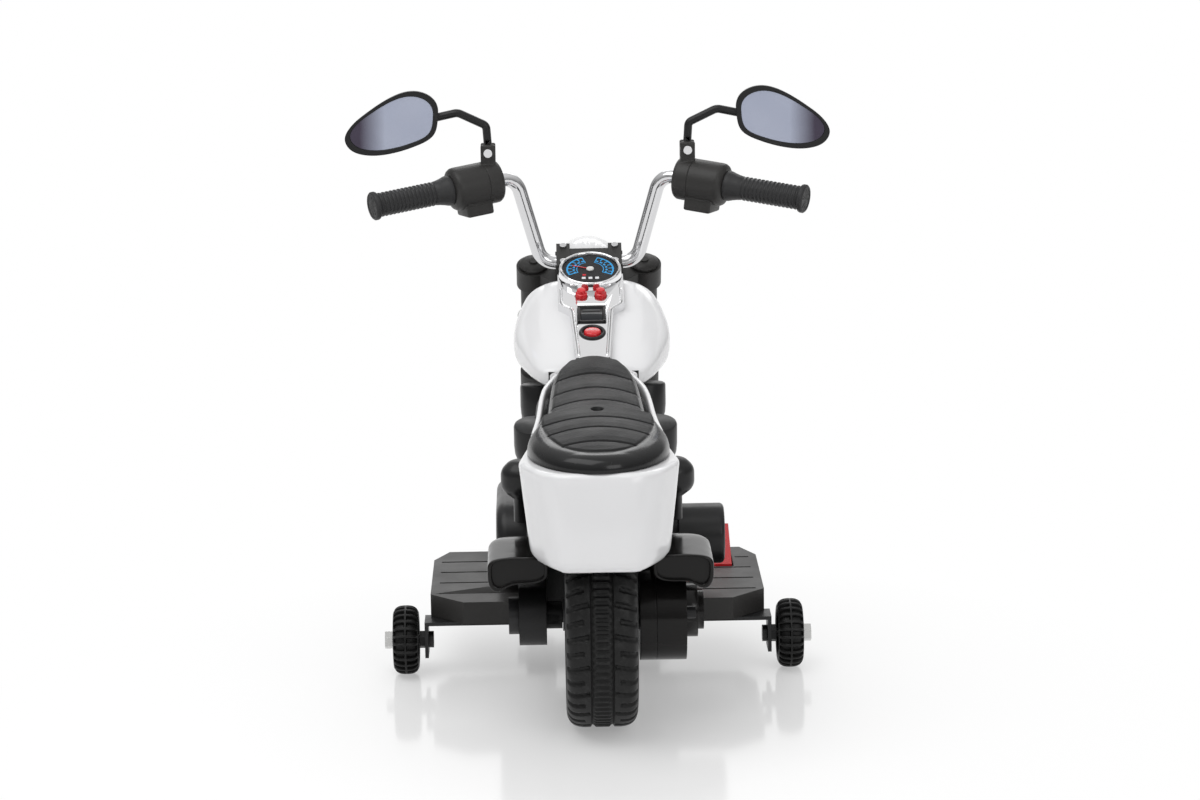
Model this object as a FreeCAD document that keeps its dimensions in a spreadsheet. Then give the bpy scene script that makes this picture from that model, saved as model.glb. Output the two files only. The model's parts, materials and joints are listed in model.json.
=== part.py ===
import FreeCAD, Part
import math
import operator
import os
import Sketcher
from FreeCAD import Placement, Rotation, Vector

# Driving dimensions in millimetres and degrees. X runs to the rider's right, Y forward from the
# rear axle and Z up from the floor.
SIZES = {
    # Gaps between pieces, and the overrun of cuts
    "fit_gap": 0.2, "run_gap": 0.4, "shaft_gap": 0.05, "cut_over": 1,
    # Stance
    "wheelbase": 510, "head_z": 308, "rake": 28, "fork_offset": 20, "tail_overhang": 105,
    # Wheels and axles
    "tyre_r": 90, "tyre_band": 13, "tyre_shoulder": 11, "rear_tyre_w": 57, "front_tyre_w": 48,
    "tread_band_w": 13, "groove_w": 3.5, "groove_d": 2.5, "rim_band": 4, "web_t": 7, "hub_r": 13,
    "hub_stub": 1.5, "spoke_hole_r": 14, "axle_r": 5, "axle_head_r": 15, "axle_head_t": 8,
    # Chassis halves
    "chassis_half": 38, "chassis_wall": 3, "chassis_rear_y": 98, "chassis_floor_z": 56,
    "chassis_toe_y": 285, "chassis_knee_z": 120, "chassis_front_y": 340, "chassis_top_z": 250,
    "seat_front_y": 186, "rail_front_z": 238, "rail_rear_y": 62, "seat_base_z": 227,
    "tail_top_z": 212, "tail_reach": 78, "tail_bottom_z": 197,
    "root_half": 66, "root_depth": 32, "arm_half": 24, "arm_in": 43, "arm_out": 65, "arm_boss_r": 11,
    "neck_half": 18, "neck_low_z": 170, "neck_ahead": 16, "neck_behind": 27,
    # Head sleeve and steering stem
    "sleeve_top": 25, "sleeve_len": 45, "sleeve_r": 12, "stem_r": 8, "plate_gap": 1,
    # Fork
    "bridge_t": 10, "crown_t": 10, "leg_x": 49.5, "leg_r": 12, "cap_r": 13, "cap_rise": 6,
    "cap_bump_r": 4, "cap_bump": 1.5, "slider_r": 14, "slider_top": 135, "slider_foot": 15,
    "yoke_half": 10, "yoke_back": 14, "yoke_waist": 18, "yoke_boss_r": 15.5, "bridge_boss": 20,
    # Handlebar, mount and clamps
    "bar_r": 6.3, "bar_along": 4.5, "bar_flat": 42, "riser_x": 64, "riser_h": 79, "riser_back": 9,
    "bar_bend": 16, "bar_end_len": 140, "bar_sweep": 24.5, "bar_drop": 6.5,
    "mount_half": 30, "mount_depth": 16, "clamp_x": 23, "clamp_w": 12, "clamp_h": 9,
    "screw_r": 1.7, "screw_head_r": 3, "screw_head": 2, "screw_reach": 12, "screw_ahead": 11.3, "cover_drop": 0.8,
    # Control boxes and grips
    "pod_start": 12.5, "pod_len": 56, "pod_r": 19, "pod_box_w": 30, "pod_box_d": 26, "pod_box_drop": 29,
    "grip_r": 10.5, "grip_collar_r": 13, "grip_collar": 6, "grip_flange_r": 12.5, "grip_flange": 5,
    "grip_len": 75,
    # Mirrors
    "mirror_along": 26, "mirror_rise": 27, "post_w": 13, "post_d": 18, "post_top": 7, "eye_r": 6.5,
    "eye_t": 6, "eye_neck": 10.5, "hinge_r": 2, "hinge_head_r": 3.8, "hinge_head": 2.4,
    "mirror_arm_r": 3.6, "mirror_arm_rise": 30, "mirror_elbow_x": 26.5, "mirror_elbow_rise": 42,
    "mirror_w": 83, "mirror_h": 56, "mirror_gap_x": 42, "mirror_lift": 27, "mirror_depth": 22,
    "mirror_back": 6, "mirror_rim": 4.5, "mirror_recess": 3, "glass_t": 2,
    # Headlight and front fender
    "lamp_along": 52, "lamp_ahead": 55, "lamp_r": 32, "lamp_back": 26, "lamp_front": 20,
    "lamp_wall": 2.6, "lamp_ear_in": 18, "lamp_ear_back": 31, "lamp_ear_drop": 16, "lamp_ear_h": 12, "lens_t": 5,
    "front_fender_gap": 8, "front_fender_half": 32, "front_fender_wall": 2.6, "front_fender_skirt": 16,
    "front_fender_start": 38, "front_fender_sweep": 118, "fender_tab_r": 5,
    # Tank
    "tank_len": 152, "tank_w": 135, "tank_low_z": 230, "tank_rear_top_z": 256, "tank_front_top_z": 316,
    "tank_wall": 2.6,
    # Dash console on the tank, measured along its deck
    "console_rise": 6, "console_depth": 16, "console_half": 14.5, "console_neck_half": 19,
    "console_wide_half": 28.6, "console_step": 77, "switch_along": 39, "player_along": 67.5,
    "player_w": 24, "player_l": 26,
    "player_deep": 4, "player_proud": 1.5, "button_along": 98, "button_x": 8.3, "button_r": 5.3,
    "button_proud": 7, "button_deep": 1.8, "dial_along": 134, "dial_r": 27, "dial_rim": 2.4, "dial_under": 6,
    "dial_rise": 3.5, "dial_proud": 3.2, "gauge_t": 1.8, "bezel_r": 11.5, "bezel_proud": 2.4, "barrel_r": 9.8,
    "barrel_deep": 5, "rocker_r": 8, "rocker_proud": 4.4, "rocker_deep": 2.6, "rocker_tilt": 10,
    "trunnion_r": 1, "trunnion_reach": 9.2,
    # Seat
    "seat_tail_half": 28, "seat_shoulder_half": 42, "seat_rear_half": 57, "seat_rear_top_half": 46,
    "pillion_half": 48, "pillion_top_half": 44, "rider_half": 43, "rider_top_half": 39,
    "rider_mid_half": 39, "rider_mid_top_half": 35, "seat_nose_half": 28, "seat_nose_top_half": 24.5,
    "tail_rise": 3, "shoulder_rise": 8, "seat_rear_rise": 14, "pillion_rise": 24, "rider_rise": 18,
    "seat_nose_rise": 21, "shoulder_len": 13, "seat_rear_len": 45, "pillion_y": 28, "lip_depth": 5,
    "rider_mid_y": 140, "seat_corner": 6, "seat_crown": 2, "seat_wall": 3,
    "seat_screw_y": 14, "seat_screw_r": 2.5, "seat_screw_head_r": 5, "seat_screw_head": 2.5,
    "seat_boss_r": 8,
    # Rear fender
    "fender_low_z": 151, "fender_low_half": 55, "fender_top_half": 64, "fender_panel_half": 31,
    "fender_shoulder_in": 16, "fender_facet": 14, "fender_flank": 46, "fender_front_in": 9,
    "fender_lean": 10, "fender_front_y": 18, "fender_wall": 2.6, "fender_plate_t": 3,
    "skirt_start_y": 78, "skirt_z": 160, "skirt_rise": 5, "strip_w": 7, "strip_h": 5, "strip_top": 12,
    # Shocks and exhausts
    "shock_x": 62, "shock_y": 42, "shock_r": 16, "shock_rod_r": 6, "shock_top_z": 208, "shock_pin_r": 3,
    "shock_pin_z": 201, "shock_round": 11,
    "muffler_in": 40, "muffler_out": 89, "muffler_low_z": 129, "muffler_top_z": 157, "muffler_rear_y": 52,
    "muffler_front_y": 66, "muffler_round": 13, "muffler_wall": 3, "muffler_mouth": 40,
    "header_r": 8.5, "header_x": 50, "header_z": 139,
    # Engine covers, air cleaner and primary cover
    "engine_deep": 20, "engine_rear_y": 134, "engine_front_y": 288, "engine_shelf_z": 138,
    "engine_neck_z": 150, "engine_valley_z": 165, "head_top_z": 221, "head_drop": 8, "head_lean": 14,
    "head_deep": 26, "head_cap_h": 26, "head_rear_y": 92, "head_len": 60, "head_pitch": 124,
    "valley_y": 168, "valley_len": 32,
    "drum_y": 170, "drum_z": 112, "drum_r": 25.5, "drum_in": 69, "drum_out": 108, "drum_neck_r": 15,
    "drum_round": 4, "primary_y": 140, "primary_len": 142, "primary_low_z": 72, "primary_h": 70,
    "primary_deep": 26, "primary_corner": 32, "primary_round": 9,
    # Footboards and accelerator pedal
    "board_low_z": 47, "board_t": 19, "board_wall": 3, "board_out": 141, "board_rear_y": 130,
    "board_front_y": 300, "board_taper": 28, "board_toe": 13, "rib_gap_w": 3, "rib_gap_d": 1.4,
    "rib_pitch": 35, "rib_inset": 7,
    "pedal_x": 75, "pedal_w": 43, "pedal_y": 235, "pedal_len": 55, "pedal_low": 11, "pedal_low_rise": 4,
    "pedal_heel": 20.5, "pedal_toe": 43, "pedal_gap": 1.5, "well_wall": 2.6, "well_floor": 3,
    "pin_r": 2, "pin_y": 6, "pin_z": 15, "spring_y": 42, "spring_r": 4, "spring_wire": 0.6,
    "pedal_switch_y": 20, "pedal_switch_w": 12, "pedal_switch_l": 8, "pedal_switch_h": 5,
    # Stabilisers
    "strip_steel": 3, "strip_steel_w": 25, "leaf_x": 143, "leaf_low_z": 16, "strip_in": 60,
    "stabiliser_y": 150, "stabiliser_r": 29, "stabiliser_w": 22, "stabiliser_start": 151, "bolt_r": 4,
    "bolt_head_r": 7, "bolt_head": 4, "bolt_end": 178, "nut_af": 13, "nut_t": 6.5, "jam_nut_t": 4.4,
    "stabiliser_round": 4,
    # Gearbox and motor
    "wheel_side_gap": 2.5, "case_wall": 2, "case_r": 37.5, "case_end": 44, "cover_end": 68,
    "cover_wall": 2.6, "tooth_module": 1, "gear_w": 8, "gear_side_gap": 0.8, "motor_r": 14,
    "motor_boss_r": 22, "motor_boss_end": 79, "motor_cap_r": 16, "motor_cap_end": 84, "motor_len": 32,
    "motor_tube_r": 17, "shaft_r": 1.5, "shaft_reach": 6, "mesh_drop": 12,
    # Electrics inside the chassis
    "battery_w": 47, "battery_l": 70, "battery_h": 101, "battery_y": 150, "board_l": 50, "board_h": 40,
    "pcb_t": 1.6, "pcb_y": 235, "pcb_z": 150, "speaker_r": 20, "speaker_t": 8, "speaker_y": 262,
    "speaker_z": 195, "socket_r": 6, "socket_flange_r": 8, "socket_flange": 2, "socket_len": 14,
    "socket_bore_r": 2.75, "socket_bore_len": 10, "socket_y": 316, "socket_z": 170,
}

# Counts
GEAR_TEETH = 64
PINION_TEETH = 12
SPOKE_HOLES = 6
BOARD_GROOVES = 4
SPRING_TURNS = 4
OVAL_POINTS = 20

# Shapes given as shares of the sizes that they follow
TANK_STATION_SHARES = (0, 0.24, 0.5, 0.8, 1)
TANK_WIDTH_SHARES = (0.4, 0.8, 1, 0.88, 0.56)
TANK_LOW_SHARES = (0.13, 0.03, 0, 0.08, 0.36)
TANK_TOP_SHARES = (0, 0.22, 0.47, 0.82, 0.74)
OVAL_POWER_SHARE = 0.7
OVAL_MIDDLE_SHARE = 0.58
EGG_SHARES = ((-0.98, 0.29), (-0.87, 0.77), (-0.51, 1), (0.02, 0.81), (0.55, 0.32), (0.91, -0.16),
              (1, -0.48), (0.91, -0.77), (0.62, -0.97), (0.02, -0.94), (-0.51, -0.71), (-0.87, -0.39))
EGG_DEPTH_SHARES = (0, 0.5, 1)
EGG_SCALE_SHARES = (1, 0.95, 0.55)
TOOTH_REACH_SHARES = (-1.25, 0.8)
TOOTH_HALF_SHARES = (0.85, 0.28)
LAMP_SHARES = ((0, -1), (0.45, -0.92), (0.84, -0.46), (1, 0.15))
ROCKER_SHARES = (0.9, 0.8)
HALF_SHARE = 0.5

X_AXIS = Vector(1, 0, 0)
Y_AXIS = Vector(0, 1, 0)
Z_AXIS = Vector(0, 0, 1)
FULL_TURN = 360
QUARTER_TURN = 90
OPERATIONS = {"+": operator.add, "-": operator.sub, "*": operator.mul, "/": operator.truediv}

doc = FreeCAD.newDocument("kids_electric_motorbike")
sheet = doc.addObject("Spreadsheet::Sheet", "Sizes")
for row, (alias, number) in enumerate(SIZES.items(), start=1):
    sheet.set(f"A{row}", str(number))
    sheet.setAlias(f"A{row}", alias)
layout = doc.addObject("Spreadsheet::Sheet", "Layout")
doc.recompute()
layout_rows = []
nodes = []


class Size:
    """A number that remembers its formula on the sheet, so that features can be bound to it."""

    def __init__(self, value, text):
        self.value = float(value)
        self.text = text

    def __float__(self):
        return self.value

    def __neg__(self):
        return Size(-self.value, f"-({self.text})")

    def __add__(self, other):
        return combine(self, "+", other)

    def __radd__(self, other):
        return combine(other, "+", self)

    def __sub__(self, other):
        return combine(self, "-", other)

    def __rsub__(self, other):
        return combine(other, "-", self)

    def __mul__(self, other):
        return combine(self, "*", other)

    def __rmul__(self, other):
        return combine(other, "*", self)

    def __truediv__(self, other):
        return combine(self, "/", other)


class SheetSizes:
    """Gives each driving dimension as a Size by its alias."""

    def __getattr__(self, alias):
        return Size(SIZES[alias], "Sizes." + alias)


def as_size(value):
    return value if isinstance(value, Size) else Size(value, repr(float(value)))


def combine(first, sign, second):
    first = as_size(first)
    second = as_size(second)
    return Size(OPERATIONS[sign](first.value, second.value), f"({first.text} {sign} {second.text})")


def sine(angle):
    return Size(math.sin(math.radians(angle.value)), f"sin({angle.text})")


def cosine(angle):
    return Size(math.cos(math.radians(angle.value)), f"cos({angle.text})")


def slope_angle(rise, run):
    slope = rise / run
    return Size(math.degrees(math.atan(slope.value)), f"(atan({slope.text}) / 1deg)")


def derived(alias, size):
    """Keep a worked-out value on the layout sheet and give it back under its own name."""
    layout_rows.append(alias)
    cell = f"A{len(layout_rows)}"
    layout.set(cell, "=" + size.text)
    layout.setAlias(cell, alias)
    return Size(size.value, "Layout." + alias)


def between(low, high, share):
    return low + (high - low) * share


def mm(*sizes):
    return Vector(*(float(size) for size in sizes))


def bind(thing, prop, size):
    thing.setExpression(prop, as_size(size).text)


s = SheetSizes()

# Layout worked out from the driving dimensions
rear_axle_y = derived("rear_axle_y", (s.tail_overhang - s.wheelbase - s.tyre_r) / 2)
fork_len = derived("fork_len", (s.head_z - s.tyre_r + s.fork_offset * sine(s.rake)) / cosine(s.rake))
head_y = derived("head_y", s.wheelbase - fork_len * sine(s.rake) - s.fork_offset * cosine(s.rake))
tank_rear_y = derived("tank_rear_y", s.seat_front_y + s.fit_gap)
deck_tilt = derived("deck_tilt", slope_angle(s.tank_front_top_z - s.tank_rear_top_z, s.tank_len))
deck_z = derived("deck_z", s.tank_rear_top_z + s.console_rise)
board_top = derived("board_top", s.board_low_z + s.board_t)
side_x = derived("side_x", s.chassis_half + s.fit_gap)
case_in = derived("case_in", s.rear_tyre_w / 2 + s.wheel_side_gap)
gear_start = derived("gear_start", case_in + s.case_wall + s.gear_side_gap)
gear_end = derived("gear_end", gear_start + s.gear_w)
mesh_reach = derived("mesh_reach", s.tooth_module * (GEAR_TEETH + PINION_TEETH) / 2)
motor_y = derived("motor_y", mesh_reach * cosine(s.mesh_drop))
motor_z = derived("motor_z", s.tyre_r - mesh_reach * sine(s.mesh_drop))
sleeve_low = derived("sleeve_low", -s.sleeve_top - s.sleeve_len)
bridge_low = derived("bridge_low", s.plate_gap - s.sleeve_top)
bridge_top = derived("bridge_top", bridge_low + s.bridge_t)
crown_top = derived("crown_top", sleeve_low - s.plate_gap)
plate_z = derived("plate_z", s.tail_top_z + s.fit_gap)
plate_top = derived("plate_top", plate_z + s.fender_plate_t)
well_floor_z = derived("well_floor_z", s.board_low_z + s.well_floor)
pin_y = derived("pin_y_place", s.pedal_y + s.pin_y)
pin_z = derived("pin_z_place", s.board_low_z + s.pin_z)


def steer_point(along, ahead):
    """Y and Z of a point on the steering plane: along the raked axis from the head, and ahead of it."""
    y = head_y - along * sine(s.rake) + ahead * cosine(s.rake)
    z = s.head_z + along * cosine(s.rake) + ahead * sine(s.rake)
    return y, z


# Document helpers


def node(label, thing, y=0, z=0, tilt=None):
    """Name a finished piece and set it in the bike's frame."""
    if thing.TypeId in ("Part::Box", "Part::Cylinder"):
        thing = group(thing.Name + "_set", thing)
    thing.Label = label
    if tilt is not None:
        thing.Placement = Placement(Vector(), Rotation(X_AXIS, float(tilt)))
        bind(thing, "Placement.Rotation.Angle", tilt)
    bind(thing, "Placement.Base.y", rear_axle_y + y)
    bind(thing, "Placement.Base.z", z)
    nodes.append(thing)
    return thing


def box(name, low, high):
    block = doc.addObject("Part::Box", name)
    for axis, side, start, end in zip("xyz", ("Length", "Width", "Height"), low, high):
        bind(block, "Placement.Base." + axis, start)
        bind(block, side, end - start)
    return block


def cylinder(name, axis, radius, start, end, first, second):
    """A round bar along X, Y or Z; first and second are its places on the other two axes in order."""
    bar = doc.addObject("Part::Cylinder", name)
    turns = {"X": Rotation(Y_AXIS, QUARTER_TURN), "Y": Rotation(X_AXIS, -QUARTER_TURN), "Z": Rotation()}
    bar.Placement = Placement(Vector(), turns[axis])
    places = [first, second]
    places.insert("XYZ".index(axis), start)
    for letter, place in zip("xyz", places):
        bind(bar, "Placement.Base." + letter, place)
    bind(bar, "Radius", radius)
    bind(bar, "Height", end - start)
    return bar


def sphere(name, radius, x, y, z):
    ball = doc.addObject("Part::Sphere", name)
    bind(ball, "Radius", radius)
    for letter, place in zip("xyz", (x, y, z)):
        bind(ball, "Placement.Base." + letter, place)
    return ball


def tilt_about_x(thing, angle, y, z):
    thing.Placement = Placement(Vector(), Rotation(X_AXIS, float(angle)))
    bind(thing, "Placement.Rotation.Angle", angle)
    bind(thing, "Placement.Base.y", y)
    bind(thing, "Placement.Base.z", z)
    return thing


def fuse(name, *pieces):
    joined = doc.addObject("Part::MultiFuse", name)
    joined.Shapes = list(pieces)
    return joined


def cut(name, base, *tools):
    rest = doc.addObject("Part::Cut", name)
    rest.Base = base
    rest.Tool = tools[0] if len(tools) == 1 else fuse(name + "_tools", *tools)
    return rest


def common(name, *pieces):
    shared = doc.addObject("Part::MultiCommon", name)
    shared.Shapes = list(pieces)
    return shared


def group(name, *pieces):
    together = doc.addObject("Part::Compound", name)
    together.Links = list(pieces)
    return together


def mirrored(name, source):
    twin = doc.addObject("Part::Mirroring", name)
    twin.Source = source
    twin.Normal = X_AXIS
    return twin


def shaped(name, shape):
    piece = doc.addObject("Part::Feature", name)
    piece.Shape = shape
    return piece


def new_body(name):
    return doc.addObject("PartDesign::Body", name)


def flat_sketch(body, plane, name, offset=None):
    sketch = body.newObject("Sketcher::SketchObject", name)
    support = next(feature for feature in body.Origin.OriginFeatures if feature.Role == plane)
    sketch.AttachmentSupport = [(support, "")]
    sketch.MapMode = "FlatFace"
    if offset is not None:
        bind(sketch, "AttachmentOffset.Base.z", offset)
    return sketch


def hold_point(sketch, line, point):
    for kind, axis, place in zip(("DistanceX", "DistanceY"), (-2, -1), point):
        place = as_size(place)
        if place.value == 0:
            sketch.addConstraint(Sketcher.Constraint("PointOnObject", line, 1, axis))
        else:
            number = sketch.addConstraint(Sketcher.Constraint(kind, -1, 1, line, 1, place.value))
            bind(sketch, f".Constraints[{number}]", place)


def outline_sketch(body, plane, name, points, offset=None):
    """A closed outline of straight lines, each corner held by its two coordinates."""
    sketch = flat_sketch(body, plane, name, offset)
    corners = [mm(x, y, 0) for x, y in points]
    for start, end in zip(corners, corners[1:] + corners[:1]):
        sketch.addGeometry(Part.LineSegment(start, end), False)
    for line in range(len(corners)):
        after = (line + 1) % len(corners)
        sketch.addConstraint(Sketcher.Constraint("Coincident", line, 2, after, 1))
    for line, point in enumerate(points):
        hold_point(sketch, line, point)
    return sketch


def revolved(name, axis, outline):
    """A turned piece: (x, r) points about X, (r, y) points about Y or (r, z) points about Z."""
    body = new_body(name)
    plane = "XZ_Plane" if axis == "Z" else "XY_Plane"
    sketch = outline_sketch(body, plane, name + "_section", outline)
    turn = body.newObject("PartDesign::Revolution", name + "_turn")
    turn.Profile = sketch
    turn.ReferenceAxis = (sketch, ["H_Axis" if axis == "X" else "V_Axis"])
    turn.Angle = FULL_TURN
    return body


def padded(name, plane, outline, length, offset=None, midplane=False, reverse=False):
    body = new_body(name)
    sketch = outline_sketch(body, plane, name + "_outline", outline, offset)
    pad = body.newObject("PartDesign::Pad", name + "_pad")
    pad.Profile = sketch
    bind(pad, "Length", length)
    pad.Midplane = midplane
    pad.Reversed = reverse
    return body


def pocket(body, name, plane, outline, depth, offset=None, reverse=False):
    sketch = outline_sketch(body, plane, name + "_outline", outline, offset)
    hole = body.newObject("PartDesign::Pocket", name)
    hole.Profile = sketch
    bind(hole, "Length", depth)
    hole.Reversed = reverse
    return hole


def soften(body, radius, picks):
    """Round the edges of the body's last feature that picks chooses."""
    doc.recompute()
    base = body.Tip
    edges = [f"Edge{number}" for number, edge in enumerate(base.Shape.Edges, start=1) if picks(edge)]
    fillet = body.newObject("PartDesign::Fillet", body.Name + "_fillet")
    fillet.Base = (base, edges)
    bind(fillet, "Radius", radius)


def hollow(body, wall, is_open):
    """Leave a wall of even thickness, open at the face that is_open chooses."""
    doc.recompute()
    base = body.Tip
    faces = [f"Face{number}" for number, face in enumerate(base.Shape.Faces, start=1) if is_open(face)]
    shell = body.newObject("PartDesign::Thickness", body.Name + "_shell")
    shell.Base = (base, faces)
    bind(shell, "Value", wall)
    shell.Reversed = True
    shell.Join = "Intersection"


def near(value, size):
    return abs(value - float(size)) < float(s.shaft_gap)


def runs_along(edge, axis):
    """True for a straight edge parallel to the axis."""
    if edge.Curve.TypeId != "Part::GeomLine":
        return False
    return abs(abs(edge.Curve.Direction.dot(axis)) - axis.Length) < edge.Tolerance


def mid_point(edge):
    return edge.CenterOfMass


# Wheels


def tyre(name, width):
    half = width / 2
    inner = s.tyre_r - s.tyre_band
    groove_in = s.tread_band_w / 2
    groove_out = groove_in + s.groove_w
    groove_floor = s.tyre_r - s.groove_d
    right = [
        (groove_in, s.tyre_r), (groove_in, groove_floor), (groove_out, groove_floor),
        (groove_out, s.tyre_r), (half, s.tyre_r), (half, inner),
    ]
    left = [(-x, r) for x, r in reversed(right)]
    body = revolved(name, "X", left + right)

    def is_shoulder(edge):
        round_edge = edge.Curve.TypeId == "Part::GeomCircle"
        return round_edge and near(edge.Curve.Radius, s.tyre_r) and near(abs(edge.Curve.Center.x), half)

    soften(body, s.tyre_shoulder, is_shoulder)
    return body


def rim(name, width, hub_left, hub_right):
    half = width / 2
    outer = s.tyre_r - s.tyre_band
    inner = outer - s.rim_band
    web = s.web_t / 2
    bore = s.axle_r + s.shaft_gap
    body = revolved(name, "X", [
        (-hub_left, bore), (-hub_left, s.hub_r), (-web, s.hub_r), (-web, inner), (-half, inner),
        (-half, outer), (half, outer), (half, inner), (web, inner), (web, s.hub_r),
        (hub_right, s.hub_r), (hub_right, bore),
    ])
    sketch = flat_sketch(body, "YZ_Plane", name + "_spoke_hole")
    middle = between(s.hub_r, inner, HALF_SHARE)
    circle = Part.Circle(mm(0, middle, 0), Z_AXIS, float(s.spoke_hole_r))
    sketch.addGeometry(circle, False)
    sketch.addConstraint(Sketcher.Constraint("PointOnObject", 0, 3, -2))
    for kind, size in (("DistanceY", middle), ("Radius", s.spoke_hole_r)):
        where = (-1, 1, 0, 3) if kind == "DistanceY" else (0,)
        number = sketch.addConstraint(Sketcher.Constraint(kind, *where, size.value))
        bind(sketch, f".Constraints[{number}]", size)
    hole = body.newObject("PartDesign::Pocket", name + "_spoke_pocket")
    hole.Profile = sketch
    hole.Type = "ThroughAll"
    hole.Midplane = True
    pattern = body.newObject("PartDesign::PolarPattern", name + "_spokes")
    pattern.Originals = [hole]
    pattern.Axis = (sketch, ["N_Axis"])
    pattern.Angle = FULL_TURN
    pattern.Occurrences = SPOKE_HOLES
    body.Tip = pattern
    return body


def tooth_ring(teeth, start_angle):
    """Face of a toothed wheel with straight flanks; a tooth stands at the start angle."""
    module = float(s.tooth_module)
    place = float(gear_start)
    pitch_r = module * teeth / 2
    low, high = (pitch_r + module * share for share in TOOTH_REACH_SHARES)
    low_half, high_half = (module * share for share in TOOTH_HALF_SHARES)
    corners = []
    for tooth in range(teeth):
        middle = start_angle + 2 * math.pi * tooth / teeth
        for radius, half in ((low, -low_half), (high, -high_half), (high, high_half), (low, low_half)):
            angle = middle + half / radius
            corners.append(Vector(place, radius * math.cos(angle), radius * math.sin(angle)))
    return Part.Face(Part.makePolygon(corners + corners[:1]))


def drive_gear():
    """Gear on the rear hub; one tooth points straight at the pinion."""
    ring = tooth_ring(GEAR_TEETH, -math.radians(s.mesh_drop.value))
    solid = ring.extrude(mm(s.gear_w, 0, 0))
    bore = Part.makeCylinder(float(s.hub_r), float(s.gear_w), mm(gear_start, 0, 0), X_AXIS)
    return shaped("drive_gear_solid", solid.cut(bore))


def motor_pinion():
    """Pinion with its shaft; a gap between two teeth faces the gear."""
    half_pitch = math.pi / PINION_TEETH
    ring = tooth_ring(PINION_TEETH, math.pi - math.radians(s.mesh_drop.value) + half_pitch)
    solid = ring.extrude(mm(s.gear_w, 0, 0))
    reach = s.case_end + s.fit_gap + s.shaft_reach - gear_start
    shaft = Part.makeCylinder(float(s.shaft_r), float(reach), mm(gear_start, 0, 0), X_AXIS)
    return shaped("motor_pinion_solid", solid.fuse(shaft).removeSplitter())


# Chassis


def chassis_outline():
    return [
        (s.chassis_rear_y, s.chassis_floor_z), (s.chassis_toe_y, s.chassis_floor_z),
        (s.chassis_front_y, s.chassis_knee_z), (s.chassis_front_y, s.chassis_top_z),
        (s.seat_front_y, s.chassis_top_z), (s.seat_front_y, s.rail_front_z),
        (s.rail_rear_y, s.seat_base_z), (s.rail_rear_y, s.tail_top_z),
        (-s.tail_reach, s.tail_top_z), (-s.tail_reach, s.tail_bottom_z),
        (s.chassis_rear_y, s.tail_bottom_z),
    ]


def head_hole(name):
    """Cutter for the sleeve seat in the neck."""
    bar = doc.addObject("Part::Cylinder", name)
    bind(bar, "Radius", s.sleeve_r + s.shaft_gap)
    bind(bar, "Height", s.sleeve_len + s.cut_over * 2)
    y, z = steer_point(sleeve_low - s.cut_over, 0)
    return tilt_about_x(bar, s.rake, y, z)


def chassis_half(side):
    """Right half: an open tray with the neck round the head sleeve and the root of the rear arm."""
    tray = padded("chassis_tray_" + side, "YZ_Plane", chassis_outline(), s.chassis_half)
    hollow(tray, s.chassis_wall, lambda face: near(face.CenterOfMass.x, 0))
    inside = s.chassis_front_y - s.chassis_wall
    neck = padded("chassis_neck_" + side, "YZ_Plane", [
        (inside, s.neck_low_z), (inside, s.chassis_top_z), steer_point(-s.sleeve_top, -s.neck_ahead),
        steer_point(-s.sleeve_top, s.neck_ahead), steer_point(sleeve_low, s.neck_ahead),
        steer_point(sleeve_low, -s.neck_behind),
    ], s.neck_half)
    root = box("chassis_root_" + side, (
        s.chassis_half - s.chassis_wall, s.chassis_rear_y, s.tyre_r - s.arm_half,
    ), (s.root_half, s.chassis_rear_y + s.root_depth, s.tyre_r + s.arm_half))
    joined = fuse("chassis_joined_" + side, tray, neck, root)
    return cut("chassis_bored_" + side, joined, head_hole("head_hole_" + side))


def chassis_right():
    hole = cylinder("socket_hole", "X", s.socket_r + s.fit_gap, s.chassis_half - s.chassis_wall - s.cut_over,
                    s.chassis_half + s.cut_over, s.socket_y, s.socket_z)
    node("chassis_right", cut("chassis_right_solid", chassis_half("right"), hole))


def chassis_left():
    half = mirrored("chassis_left_half", chassis_half("left"))
    arm = box("rear_arm_bar", (-s.arm_out, 0, s.tyre_r - s.arm_half),
              (-s.arm_in, s.chassis_rear_y + s.cut_over, s.tyre_r + s.arm_half))
    end = cylinder("rear_arm_end", "X", s.arm_half, -s.arm_out, -s.arm_in, 0, s.tyre_r)
    boss = cylinder("rear_arm_boss", "X", s.arm_boss_r, -s.arm_in - s.cut_over,
                    -s.rear_tyre_w / 2 - s.hub_stub - s.run_gap, 0, s.tyre_r)
    bore = cylinder("rear_arm_bore", "X", s.axle_r + s.shaft_gap, -s.arm_out - s.cut_over,
                    -s.rear_tyre_w / 2, 0, s.tyre_r)
    joined = fuse("chassis_left_joined", half, arm, end, boss)
    node("chassis_left", cut("chassis_left_solid", joined, bore))


def head_sleeve():
    bore = s.stem_r + s.shaft_gap
    body = revolved("head_sleeve_solid", "Z", [
        (bore, sleeve_low), (s.sleeve_r, sleeve_low), (s.sleeve_r, -s.sleeve_top), (bore, -s.sleeve_top),
    ])
    node("head_sleeve", body, head_y, s.head_z, s.rake)


# Tank, console and their fittings


def oval_wire(y, half, low, top):
    """A closed rounded section across the bike, squarer than an ellipse."""
    middle = between(low, top, OVAL_MIDDLE_SHARE)
    points = []
    for step in range(OVAL_POINTS):
        angle = 2 * math.pi * step / OVAL_POINTS
        wide = math.copysign(abs(math.cos(angle)) ** OVAL_POWER_SHARE, math.cos(angle))
        high = math.copysign(abs(math.sin(angle)) ** OVAL_POWER_SHARE, math.sin(angle))
        rise = top - middle if high > 0 else middle - low
        points.append(Vector(half * wide, y, middle + rise * high))
    curve = Part.BSplineCurve()
    curve.interpolate(points, PeriodicFlag=True)
    return Part.Wire(curve.toShape())


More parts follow.
